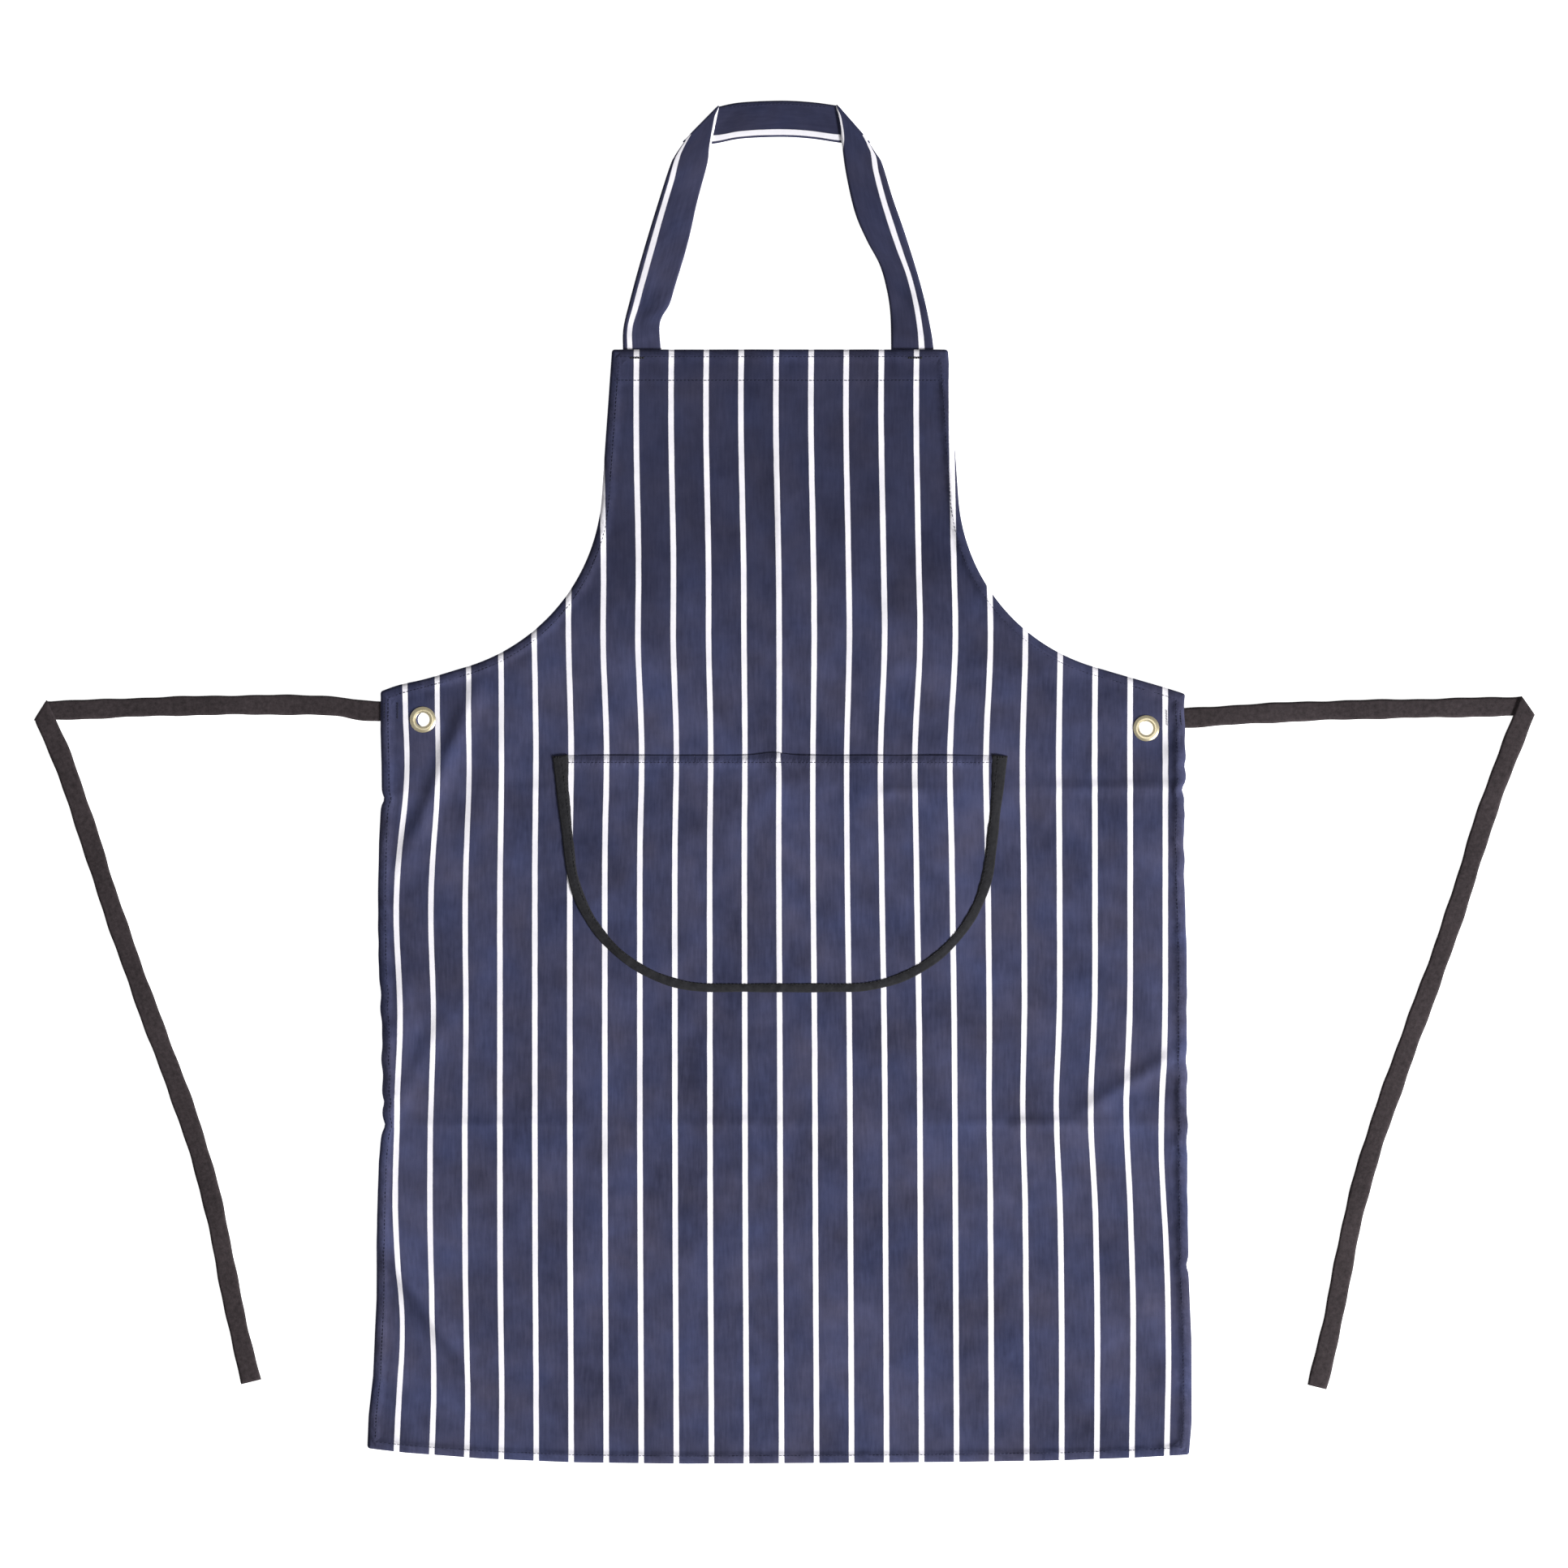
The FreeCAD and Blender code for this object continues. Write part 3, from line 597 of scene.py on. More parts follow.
def cloth_material(name, base, light, dark):
    """Woven cotton: twill ribs, uneven yarn, an uneven tone that is partly painted light and shade,
    puckers along the hems with painted highlights on their crests and painted shade in their hollows,
    painted shade over the bib and the strap, and white woven stripes."""
    m = Shading(name)
    place, across, along = m.layer("cloth")
    hem, from_edge, _ = m.layer("hem")
    rib = m.wave(m.plus(across, m.times(along, 0.85)), 0.55 * MM)
    weave = m.plus(m.times(rib, 0.6), m.times(m.wave(across, 0.42 * MM), 0.25))
    broad = m.noise(place, 8.0, 4.0, 0.6)
    cloudy = m.noise(place, 34.0, 3.0, 0.6)
    slub = m.noise(m.mapped(place, (420.0, 45.0, 1.0)), 1.0, 3.0, 0.6)
    fine = m.noise(place, 190.0, 4.0, 0.65)

    # Puckers: short slanting gathers in a band beside the sewing, strongest on its row.
    inward = m.calc("DIVIDE", m.minus(from_edge, 5.6 * MM), 4.2 * MM)
    band = m.calc("POWER", math.e, m.times(m.times(inward, inward), -1.0))
    band = m.times(band, m.calc("GREATER_THAN", from_edge, 0.02 * MM))
    gathers = m.times(m.noise(m.mapped(hem, (45.0, 105.0, 1.0), 0.35), 1.0, 4.0, 0.6), band)

    # Uneven tone in broad soft patches and yarn slubs: partly the cloth's own uneven colour, and partly
    # painted light and shade for the cloth's slight tilts.
    tone = m.plus(m.times(broad, 0.50), m.plus(m.times(cloudy, 0.28), m.times(slub, 0.22)))
    tone = m.scaled(m.minus(tone, 0.5), 3.6, 0.5, clamp=True)
    ground = m.mix(0.35, m.mix(tone, dark, light), base)
    # Painted highlight: the crests of the puckers are lightened towards the light colour, in broad
    # patches.
    painted_crest_highlight = m.times(m.times(m.minus(gathers, 0.46), 1.5, clamp=True), broad)
    ground = m.mix(painted_crest_highlight, ground, tuple(min(1.0, c * 1.35) for c in light[:3]) + (1,))
    # Painted shade: the hollows between the puckers along the sewing are darkened.
    painted_hollow_shade = m.times(m.minus(band, m.times(gathers, 2.0)), 0.34, clamp=True)
    ground = m.mix(painted_hollow_shade, ground, dark)
    patchy = m.scaled(m.minus(m.noise(place, 21.0, 2.0), 0.5), 2.4, 0.5, clamp=True)
    tint = m.mix(patchy, (1.08, 1.0, 0.90, 1), (0.90, 1.0, 1.12, 1))
    ground = m.mix(1.0, ground, tint, blend="MULTIPLY")
    # Painted shade: the bib and the strap are darker than the skirt, from 0.1 to 0.2 m up the apron,
    # standing in for the light that falls off towards the top.
    painted_upper_shade = m.node("MapRange", {"Value": along, "From Min": 0.10, "From Max": 0.20,
                                "To Min": 0.0, "To Max": 0.46}).outputs[0]
    ground = m.mix(painted_upper_shade, ground, dark)
    ground = m.mix(m.scaled(rib, 0.12, 0.12), ground, dark)

    from_stripe = m.calc("PINGPONG", across, STRIPE_PITCH * MM / 2)
    ragged = m.scaled(m.minus(slub, 0.5), 0.6 * MM, STRIPE_WIDTH / 2 * MM)
    mask = m.scaled(m.minus(ragged, from_stripe), 1 / (0.5 * MM), 0.5, clamp=True)
    white = m.mix(fine, (0.80, 0.78, 0.85, 1), (0.96, 0.94, 0.97, 1))
    white = m.mix(m.scaled(rib, 0.06, 0.06), white, (0.40, 0.40, 0.50, 1))
    height = m.plus(m.times(weave, 0.5), m.times(slub, 0.9))
    puckered = m.bump(gathers, 0.9, 2.2 * MM, Normal=m.bump(height, 0.35, 0.12 * MM))
    return m.finish(m.mix(mask, ground, white), m.scaled(fine, 0.18, 0.70), puckered,
                    Specular_IOR_Level=0.16, Sheen_Weight=0.05, Sheen_Roughness=0.5,
                    Sheen_Tint=(0.6, 0.68, 1.0, 1))


def tape_material(name, base, light):
    """Woven black cotton tape: fine herringbone ribs, lint and a slightly rubbed look."""
    m = Shading(name)
    place, along, across = m.layer("cloth")
    rib = m.wave(m.plus(along, m.calc("PINGPONG", across, 1.6 * MM)), 0.8 * MM)
    lint = m.noise(place, 240.0, 4.0, 0.7)
    tone = m.scaled(m.minus(lint, 0.5), 1.6, m.times(m.noise(place, 14.0, 2.0), 0.7), clamp=True)
    colour = m.mix(m.scaled(rib, 0.12, 0.12), m.mix(tone, base, light), base)
    height = m.plus(m.times(rib, 0.5), lint)
    return m.finish(colour, m.scaled(lint, 0.2, 0.72), m.bump(height, 0.6, 0.15 * MM),
                    Specular_IOR_Level=0.16, Sheen_Weight=0.04, Sheen_Roughness=0.45)


def thread_material(name, base, light):
    """Twisted sewing thread: two-ply twist with a faint lustre."""
    m = Shading(name)
    _, along, across = m.layer("cloth")
    ply = m.wave(m.plus(along, across), 0.45 * MM)
    colour = m.mix(m.scaled(ply, 0.4, 0.5, clamp=True), base, light)
    return m.finish(colour, 0.5, m.bump(ply, 0.5, 0.06 * MM), Specular_IOR_Level=0.25)


def brass_material(name):
    """Polished brass: fine scratches round the ring and a few duller, handled patches."""
    m = Shading(name)
    place = m.node("TexCoord", {}).outputs["Object"]
    patches = m.noise(place, 260.0, 3.0)
    colour = m.mix(patches, (0.98, 0.81, 0.46, 1), (1.0, 0.94, 0.72, 1))
    scratched = m.bump(m.noise(place, 2400.0, 2.0), 0.12, 0.03 * MM)
    return m.finish(colour, m.scaled(patches, 0.16, 0.22), scratched, Metallic=1.0)


NAVY = cloth_material("striped_navy_twill", (0.038, 0.041, 0.088, 1), (0.085, 0.088, 0.170, 1),
                      (0.012, 0.013, 0.034, 1))
TAPE = tape_material("black_cotton_tape", (0.019, 0.0145, 0.016, 1), (0.074, 0.058, 0.063, 1))
BINDING = tape_material("black_bias_binding", (0.010, 0.010, 0.012, 1), (0.034, 0.034, 0.038, 1))
# Sewing threads by name.
THREADS = {
    "navy_thread": thread_material("navy_thread", (0.012, 0.013, 0.036, 1), (0.040, 0.044, 0.095, 1)),
    "black_thread": thread_material("black_thread", (0.004, 0.004, 0.006, 1), (0.022, 0.022, 0.026, 1)),
}
BRASS = brass_material("brass")


# ------------------------------------------------------------------ flat tapes and straps
def spline_points(route, name):
    """The line of a NURBS curve whose control points are the route, in metres."""
    curve = bpy.data.curves.new(name, "CURVE")
    curve.dimensions = "3D"
    curve.resolution_u = 14
    spline = curve.splines.new("NURBS")
    spline.points.add(len(route) - 1)
    for point, place in zip(spline.points, route):
        point.co = (*place, 1)
    spline.order_u = 3
    spline.use_endpoint_u = True
    holder = linked(name, curve)
    bpy.context.view_layer.update()
    shown = holder.evaluated_get(bpy.context.evaluated_depsgraph_get())
    mesh = bpy.data.meshes.new_from_object(shown)
    points = [tuple(v.co) for v in mesh.vertices]
    bpy.data.objects.remove(holder)
    bpy.data.meshes.remove(mesh)
    return points


def resample(points, spacing):
    """A line of 2D points again in even steps."""
    points = np.array(points, float)[:, :2]
    steps = np.linalg.norm(np.diff(points, axis=0), axis=1)
    keep = np.concatenate([[True], steps > 1e-9])
    points = points[keep]
    length = np.concatenate([[0], np.cumsum(np.linalg.norm(np.diff(points, axis=0), axis=1))])
    count = max(2, int(round(length[-1] / spacing)) + 1)
    at = np.linspace(0, length[-1], count)
    return np.column_stack([np.interp(at, length, points[:, k]) for k in (0, 1)]), at


def round_fold(base, out, wrap, low, high, face, turns):
    """The rows of a flat piece that is folded over: each turn's points and normals."""
    rises = np.sign(np.mean(high - low))
    for turn in turns:
        angle = turn * math.pi
        height = low + (high - low) * (1 - math.cos(angle)) / 2
        normal = [*(-out * rises * math.sin(angle) * face), face * math.cos(angle)]
        points = np.column_stack([base + out * wrap * math.sin(angle), height])
        yield turn, points, np.tile(normal, (len(low), 1))


def tape_rows(runs, width, levels, wrap=0.7, spacing=2.5, columns=9, edge=None):
    """Rows of a flat tape that follows each run in turn and is folded over where two runs meet.
    levels(run, s) is the height of its middle. Returns rows of (points, normals, places)."""
    rows = []
    face = 1.0
    gone = 0.0
    lateral = np.linspace(-width / 2, width / 2, columns)
    for k, run in enumerate(runs):
        line, at = resample(run, spacing)
        tangent = np.gradient(line, axis=0)
        tangent /= np.linalg.norm(tangent, axis=1)[:, None]
        left = np.column_stack([-tangent[:, 1], tangent[:, 0]]) * face
        skew = np.zeros(len(line))
        for end, other in ((0, k - 1), (len(line) - 1, k + 1)):
            if not 0 <= other < len(runs):
                continue
            near, _ = resample(runs[other], spacing)
            if end == 0:
                way_in, way_out = unit(near[-1] - near[-2]), unit(line[1] - line[0])
            else:
                way_in, way_out = unit(line[-1] - line[-2]), unit(near[1] - near[0])
            crease = unit(way_in + way_out)
            own = way_out if end == 0 else way_in
            slope = (crease @ own) / (crease @ left[end])
            reach = 1.6 * width / 2 * abs(slope) + 1e-6
            skew += slope * np.clip(1 - np.abs(at - at[end]) / reach, 0, 1)
        for i, (place, way, side) in enumerate(zip(line, tangent, left)):
            s = gone + at[i]
            trim = 1.0 if edge is None else edge(s)
            offset = lateral * trim
            flat = place + offset[:, None] * (side + skew[i] * way)
            height = levels(k, at[i], at[-1], flat, lateral)
            points = np.column_stack([flat, height])
            normals = np.tile([0, 0, face], (columns, 1))
            rows.append((points, normals, np.column_stack([np.full(columns, s), lateral])))
        if k + 1 < len(runs):
            near, _ = resample(runs[k + 1], spacing)
            way_in, way_out = unit(line[-1] - line[-2]), unit(near[1] - near[0])
            crease = unit(way_in + way_out)
            out = unit(way_in - (way_in @ crease) * crease)
            side = left[-1]
            slant = (crease @ way_in) / (crease @ side) * way_in
            base = line[-1] + lateral[:, None] * (side + slant)
            low = levels(k, at[-1], at[-1], base, lateral)
            high = levels(k + 1, 0.0, 1.0, base, lateral)
            for turn, points, normals in round_fold(base, out, wrap, low, high, face,
                                                    (0.25, 0.5, 0.75)):
                s = np.full(columns, gone + at[-1] + turn)
                rows.append((points, normals, np.column_stack([s, lateral])))
            gone += at[-1] + 1.0
            face = -face
    return rows


def unit(v):
    return v / np.linalg.norm(v)


def tape_piece(name, rows, thickness, material):
    """A closed tape from its rows: both faces, folded edges and two ends."""
    columns = len(rows[0][0])
    vertices, flat, faces = [], [], []
    for points, normals, places in rows:
        half = np.full(columns, thickness / 2)
        half[0] = half[-1] = thickness * 0.30
        for sign in (1, -1):
            vertices += list(points + sign * normals * half[:, None])
            flat += list(places)
    stride = 2 * columns
    for r in range(len(rows) - 1):
        a, b = r * stride, (r + 1) * stride
        for c in range(columns - 1):
            faces.append((a + c, b + c, b + c + 1, a + c + 1))
            under, below = a + columns + c, b + columns + c
            faces.append((under + 1, below + 1, below, under))
        faces.append((a, a + columns, b + columns, b))
        last = columns - 1
        faces.append((a + last, b + last, b + columns + last, a + columns + last))
    for r, flip in ((0, False), (len(rows) - 1, True)):
        a = r * stride
        for c in range(columns - 1):
            quad = (a + c, a + c + 1, a + columns + c + 1, a + columns + c)
            faces.append(quad[::-1] if flip else quad)
    return new_piece(name, vertices, faces, flat, material)


# Middle line of each waist tie from its seam to its free end, the same points as the CAD route.
TIE_ROUTES = {
    "left": [(-0.3517, 0.0614), (-0.366, 0.0618), (-0.385, 0.066), (-0.418, 0.067),
             (-0.468, 0.0669), (-0.520, 0.066), (-0.566, 0.0646), (-0.600, 0.063),
             (-0.626, 0.0623), (-0.6365, 0.046), (-0.6255, 0.022), (-0.614, -0.011),
             (-0.600, -0.0525), (-0.584, -0.104), (-0.565, -0.1585), (-0.5455, -0.212),
             (-0.5245, -0.267), (-0.5065, -0.319), (-0.4925, -0.371), (-0.4825, -0.424),
             (-0.4725, -0.474), (-0.4605, -0.5227)],
    "right": [(0.3517, 0.0555), (0.368, 0.0561), (0.392, 0.058), (0.428, 0.060),
              (0.476, 0.062), (0.526, 0.0633), (0.570, 0.064), (0.606, 0.0649),
              (0.632, 0.0654), (0.644, 0.0485), (0.633, 0.020), (0.621, -0.011),
              (0.6075, -0.051), (0.592, -0.103), (0.5729, -0.159), (0.5525, -0.213),
              (0.5325, -0.2695), (0.514, -0.3225), (0.4995, -0.376), (0.489, -0.430),
              (0.4795, -0.480), (0.4677, -0.5273)],
}
TIE_FOLD = 8            # the route's point where the tape is folded over
TIE_WIDTH = 17.0
TIE_CLOTH = 0.9


def make_tie(side):
    route = [(x, y, 0.6 * MM) for x, y in TIE_ROUTES[side]]
    line = spline_points(route, side + "_tie_line")
    path = np.array(line)[:, :2] / MM
    corner_in = np.array(route[TIE_FOLD][:2]) / MM
    corner_out = np.array(route[TIE_FOLD + 1][:2]) / MM
    before = int(np.argmin(np.linalg.norm(path - corner_in, axis=1))) - 9
    after = int(np.argmin(np.linalg.norm(path - corner_out, axis=1))) + 9
    way_in = unit(path[before] - path[before - 1])
    way_out = unit(path[after + 1] - path[after])
    gap = path[after] - path[before]
    cross = way_in[0] * way_out[1] - way_in[1] * way_out[0]
    ahead = (gap[0] * way_out[1] - gap[1] * way_out[0]) / cross
    fold = path[before] + way_in * ahead
    outside = 1 if side == "right" else -1
    sewn = np.array([(outside * (SKIRT_HALF - 17.0), path[0][1]), path[0]])
    runs = [np.vstack([sewn[:1], path[:before + 1], fold]), np.vstack([fold, path[after:]])]

    def levels(run, s, length, flat, lateral):
        base = 0.46 + 0.14 * smooth(s, 17, 40) if run == 0 else 0.60
        ripple = 0.35 * (1 + np.sin(s / 23 + 1.7 * run)) * smooth(s, 30, 70)
        crown = 0.22 * (1 - (lateral / (TIE_WIDTH / 2)) ** 2) * (smooth(s, 17, 40) if run == 0 else 1)
        if run == 0:
            over = 0
        else:
            over = 1.45 * (1 - smooth(s, 6, 34))
        return base + over + ripple * (1 - smooth(s, length - 60, length - 20) if run == 0
                                       else smooth(s, 30, 60)) + crown

    def edge(s):
        return (1 + 0.035 * math.sin(s / 13.0) + 0.025 * math.sin(s / 5.1 + 2)
                + 0.02 * math.sin(s / 47.0))

    rows = tape_rows(runs, TIE_WIDTH, levels, wrap=0.9, edge=edge)
    tie = tape_piece(side + "_waist_tie_tape", rows, TIE_CLOTH, TAPE)
    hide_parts(side + "_waist_tie", side + "_tie_end")
    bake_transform(tie)
    path = [tuple(points.mean(0) * MM) for points, _, _ in rows]


# ------------------------------------------------------------------ the panel
ARMHOLE_EASE = 0.985    # keeps the curve a little inside both straight lines


def armhole():
    """The armhole's corner, where its two straight lines would meet, and the radius that joins them."""
    slope = (FOLD_Y - CORNER_Y) / (SKIRT_HALF - ARMHOLE_FOOT)
    lean = (ARMHOLE_HALF - BIB_HALF) / (BIB_TOP - ARMHOLE_TOP)
    rise, run = FOLD_Y - ARMHOLE_TOP, ARMHOLE_FOOT - ARMHOLE_HALF
    drop = (run * slope + rise) / (1 + lean * slope)
    corner = Vector((ARMHOLE_HALF - lean * drop, ARMHOLE_TOP + drop))
    up = Vector((ARMHOLE_HALF, ARMHOLE_TOP)) - corner
    out = Vector((ARMHOLE_FOOT, FOLD_Y)) - corner
    radius = min(up.length, out.length) * math.tan(up.angle(out) / 2)
    return tuple(corner), radius * ARMHOLE_EASE


def panel_outline(spacing, shrink=0.0):
    corner, radius = armhole()
    right = [(SKIRT_HALF, HEM_Y), (SKIRT_HALF, CORNER_Y), corner, (BIB_HALF, BIB_TOP)]
    left = [(-x, y) for x, y in reversed(right)]
    loop = right + left
    if shrink:
        loop = shrunk(loop, shrink)
    radii = {0: 1.8, 1: 2.0, 2: radius + shrink, 3: 2.0, 4: 2.0, 5: radius + shrink, 6: 2.0, 7: 1.8}
    if shrink:
        for k in (0, 1, 3, 4, 6, 7):
            radii[k] = 0
    return rounded(loop, radii, spacing)


def shrunk(loop, distance):
    """An anticlockwise polygon with every side moved inwards."""
    result = []
    for i, corner in enumerate(loop):
        here = Vector(corner)
        back = (here - Vector(loop[i - 1])).normalized()
        on = (Vector(loop[(i + 1) % len(loop)]) - here).normalized()
        normal_a, normal_b = Vector((-back.y, back.x)), Vector((-on.y, on.x))
        middle = (normal_a + normal_b).normalized()
        result.append(tuple(here + middle * distance / middle.dot(normal_a)))
    return result


SPACING = 4.4
HEM = 8.0
BIB_HEM = 28.0
LAP_GAP = 2.1           # how much of the lap's lift its underside has


def lap_lift(x, y):
    """How far the bib's hem stands up where an end of the neck strap is sewn behind it."""
    return 0.55 * smooth(np.abs(np.abs(x) - 119), 23, 18) * smooth(y, 346, 351)


def make_panel():
    outline = panel_outline(SPACING * 0.75)
    rings = [panel_outline(SPACING, shrink) for shrink in (2.4, HEM - 0.8, HEM + 0.8)]
    holes = [arc_points(c, 6.9, 0, 2 * math.pi, 1.8)[:-1][::-1] for c in EYELETS]
    flat, faces = triangulate(outline, rings, holes, SPACING)
    u, v = flat[:, 0], flat[:, 1]
    away = distance_to(flat, outline)
    from_top = BIB_TOP - v
    turned = np.maximum(1 - smooth(away, HEM - 0.8, HEM + 0.8),
                        1 - smooth(from_top, BIB_HEM - 0.8, BIB_HEM + 0.8))
    x, y, z = lie(u, v)
    gathered = 0.30 + 0.5 * bell(u, v, (SKIRT_HALF, -20), (60, 90))
    gathered = gathered + 0.5 * bell(u, v, (SKIRT_HALF, -275), (60, 110))
    pucker = gathered * ripples(u, v, 21, 16, 6) * np.exp(-((away - 6.0) / 5.5) ** 2)
    lap = lap_lift(u, v)
    rise = 0.4 * turned + np.maximum(pucker, -0.3) * (lap == 0) + lap
    top = np.column_stack([x, y, FACE - 0.35 + z + rise])
    bottom = np.column_stack([x, y, FACE - 0.35 + z - CLOTH - 0.6 * turned])
    bottom[:, 2] = np.maximum(bottom[:, 2], 0.05 + LAP_GAP * lap)
    vertices, polygons, source = closed_cloth(flat, faces, top, bottom)
    across = stripe_place(u, v, x)
    places = np.column_stack([across, v])[source]
    beside = np.column_stack([away + 0.03, v + 0.6 * u])[source]
    panel = new_piece("apron_panel", vertices, polygons, places, NAVY, beside)
    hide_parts("skirt_panel", "bib_panel")
    blend_at_fold(panel)


def blend_at_fold(piece):
    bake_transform(piece)


# ------------------------------------------------------------------ the pocket
POCKET_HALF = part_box("pocket_panel")[1][0] / MM
POCKET_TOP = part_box("pocket_panel")[1][1] / MM
POCKET_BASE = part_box("pocket_panel")[0][1] / MM
POCKET_LEAN = 0.114
POCKET_CORNER = 125.0


def pocket_line(grow, spacing, closed):
    """The pocket's outline, from its top left corner round the base to its top right corner."""
    base_y = POCKET_BASE - grow
    base_x = POCKET_HALF - POCKET_LEAN * (POCKET_TOP - base_y) + grow
    top_x = POCKET_HALF + grow
    points = [(-top_x, POCKET_TOP), (-base_x, base_y), (base_x, base_y), (top_x, POCKET_TOP)]
    radius = POCKET_CORNER + grow
    return rounded(points, {1: radius, 2: radius}, spacing, closed)


def pocket_lift(x, y):
    """How far the pocket's underside stands above the apron's face."""
    side = POCKET_HALF - POCKET_LEAN * (POCKET_TOP - y) - np.abs(x)
    away = np.clip(np.minimum(side, y - POCKET_BASE), 0, None)
    from_mouth = POCKET_TOP - y
    slack = 0.8 * smooth(away, 4, 46) * (0.6 + 0.4 * ripples(x, y, 31, 70, 5))
    mouth = 0.05 * np.exp(-(from_mouth / 30) ** 2) * smooth(away, 2, 60)
    return 0.12 + np.maximum(slack, 0) + mouth * (1 + 0.5 * np.sin(x / 41 + 0.8))


def make_pocket():
    outline = pocket_line(0.0, SPACING, True)
    flat, faces = triangulate(outline, [], [], SPACING)
    u, v = flat[:, 0], flat[:, 1]
    from_mouth = POCKET_TOP - v
    x, y, z = lie(u, v)
    y = y + 2.6 * bell(u, v, (-6, POCKET_TOP), (15, 14))
    low = FACE - 0.3 + z + pocket_lift(u, v)
    body = CLOTH * (0.15 + 0.85 * smooth(from_mouth, 0, 3.0))
    body = body + 0.15 * bell(from_mouth, 0 * x, (4, 0), (2, 1))
    top = np.column_stack([x, y, low + body])
    bottom = np.column_stack([x, y, low])
    vertices, polygons, source = closed_cloth(flat, faces, top, bottom, 0.2)
    squeeze = 1.2 * bell(u, v, (0, POCKET_TOP), (14, 9))
    across = stripe_place(u, v, x) + squeeze * np.sign(u + 3)
    places = np.column_stack([across, v])[source]
    beside = np.column_stack([from_mouth + 0.03, u])[source]
    pocket = new_piece("patch_pocket", vertices, polygons, places, NAVY, beside)
    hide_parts("pocket_panel")
    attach(pocket, "skirt")


def binding_widths(level):
    """The binding's width over the pocket and beyond its edge, at a height up the apron."""
    inner = np.interp(level, (-180, -140, -60, POCKET_TOP - 30, POCKET_TOP - 6),
                      (3.9, 4.6, 5.4, 6.0, 8.6))
    outer = np.interp(level, (-180, -140, POCKET_TOP), (3.7, 4.0, 4.5))
    return inner, outer


def binding_height(x, y, offset, inner, outer):
    """The top of the folded binding above its flat height, at an offset from the pocket's edge."""
    over_pocket = pocket_lift(x, y) + CLOTH + 0.28
    share = smooth(offset, -1.2, 2.0)
    half = (inner + outer) / 2
    crown = 0.42 * (1 - ((offset - (outer - inner) / 2) / half) ** 2)
    return FACE - 0.3 + over_pocket * (1 - share) + 0.75 * share + crown


def make_binding():
    """Bias binding folded over the pocket's raw edge: rounded edges, gathers where it goes round."""
    line = np.array(pocket_line(0.0, 1.6, False))
    along = np.gradient(line, axis=0)
    along /= np.linalg.norm(along, axis=1)[:, None]
    out = np.column_stack([along[:, 1], -along[:, 0]])
    steps = np.concatenate([[0], np.cumsum(np.linalg.norm(np.diff(line, axis=0), axis=1))])
    shares = [-1.0, -0.94, -0.7, -0.35, 0.0, 0.35, 0.7, 0.94, 1.0]
    count = 2 * len(shares)
    vertices, flat, faces = [], [], []
    for i, (point, normal) in enumerate(zip(line, out)):
        inner, outer = binding_widths(point[1])
        uneven = 1 + 0.05 * math.sin(steps[i] / 17) + 0.04 * math.sin(steps[i] / 6.3 + 1)
        ring = []
        for share in shares:
            offset = share * (outer if share > 0 else inner) * uneven
            place = point + normal * offset
            x, y, z = (float(v) for v in lie(place[0], place[1]))
            top = float(binding_height(*place, offset, inner * uneven, outer * uneven)) + z
            gather = 0.10 * math.sin(steps[i] / 1.7 + 1.2 * share) + 0.08 * math.sin(steps[i] / 4.1)
            edge = 0.35 if abs(share) == 1 else 0.0
            ring.append((x, y, top + gather - edge, offset))
        base = [(x, y, top - (0.35 if k in (0, len(ring) - 1) else 0.8), offset)
                for k, (x, y, top, offset) in enumerate(ring)]
        for x, y, height, offset in ring + base[::-1]:
            vertices.append((x, y, height))
            flat.append((steps[i], offset))
    for i in range(len(line) - 1):
        for k in range(count):
            a, b = i * count + k, i * count + (k + 1) % count
            faces.append((a, a + count, b + count, b))
    faces.append(tuple(range(count)))
    faces.append(tuple((len(line) - 1) * count + k for k in reversed(range(count))))
    binding = new_piece("pocket_bias_binding", vertices, faces, flat, BINDING)
    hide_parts("pocket_binding")
    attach(binding, "skirt")


# ------------------------------------------------------------------ the neck strap
STRAP_CLOTH = 1.15
# Edges of the folded strap as it lies, in mm: each leg from the bib to its fold, and the strip
# across from the left fold to the right one. The outer edge of a leg is the strip's lower edge.
LEFT_OUTER = [(-136.8, 352), (-136.8, 376), (-136.5, 394), (-131.8, 415), (-123, 448), (-110.3, 491),
              (-96.5, 534), (-91.5, 545), (-83.8, 556.6)]
LEFT_INNER = [(-102.8, 352), (-103.2, 376), (-103.7, 400), (-95.2, 416), (-90, 433), (-80, 466),
              (-70, 509), (-62, 539), (-59.5, 556), (-53, 588)]
STRIP_LOWER = [(-83.8, 556.6), (-59, 555.6), (-34.6, 560), (0.7, 561.6), (28, 560), (53.7, 556.4),
               (77.8, 556)]
STRIP_UPPER = [(-53, 588), (-34.6, 591.6), (0.7, 593.2), (28, 591.8), (48.8, 589)]
RIGHT_OUTER = [(77.8, 556), (84, 546.5), (89, 538), (98, 509), (109.4, 476), (122, 435), (129.6, 403),
               (133.6, 378), (133.6, 352)]
RIGHT_INNER = [(48.8, 589), (53.7, 556), (57.6, 529), (65.2, 496), (75.3, 472), (86.7, 450.5),
               (92.6, 430), (96.0, 408), (96.8, 378), (96.8, 352)]


def curve_through(points):
    """A smooth line through a few points."""
    points = [np.array(p, float) for p in points]
    result = []
    for i in range(len(points) - 1):
        before = points[max(i - 1, 0)]
        a, b = points[i], points[i + 1]
        after = points[min(i + 2, len(points) - 1)]
        for t in np.arange(0, 1, 0.1):
            squared = (2 * before - 5 * a + 4 * b - after) * t ** 2
            cubed = (3 * a - before - 3 * b + after) * t ** 3
            result.append(0.5 * (2 * a + (b - before) * t + squared + cubed))
    result.append(points[-1])
    return result


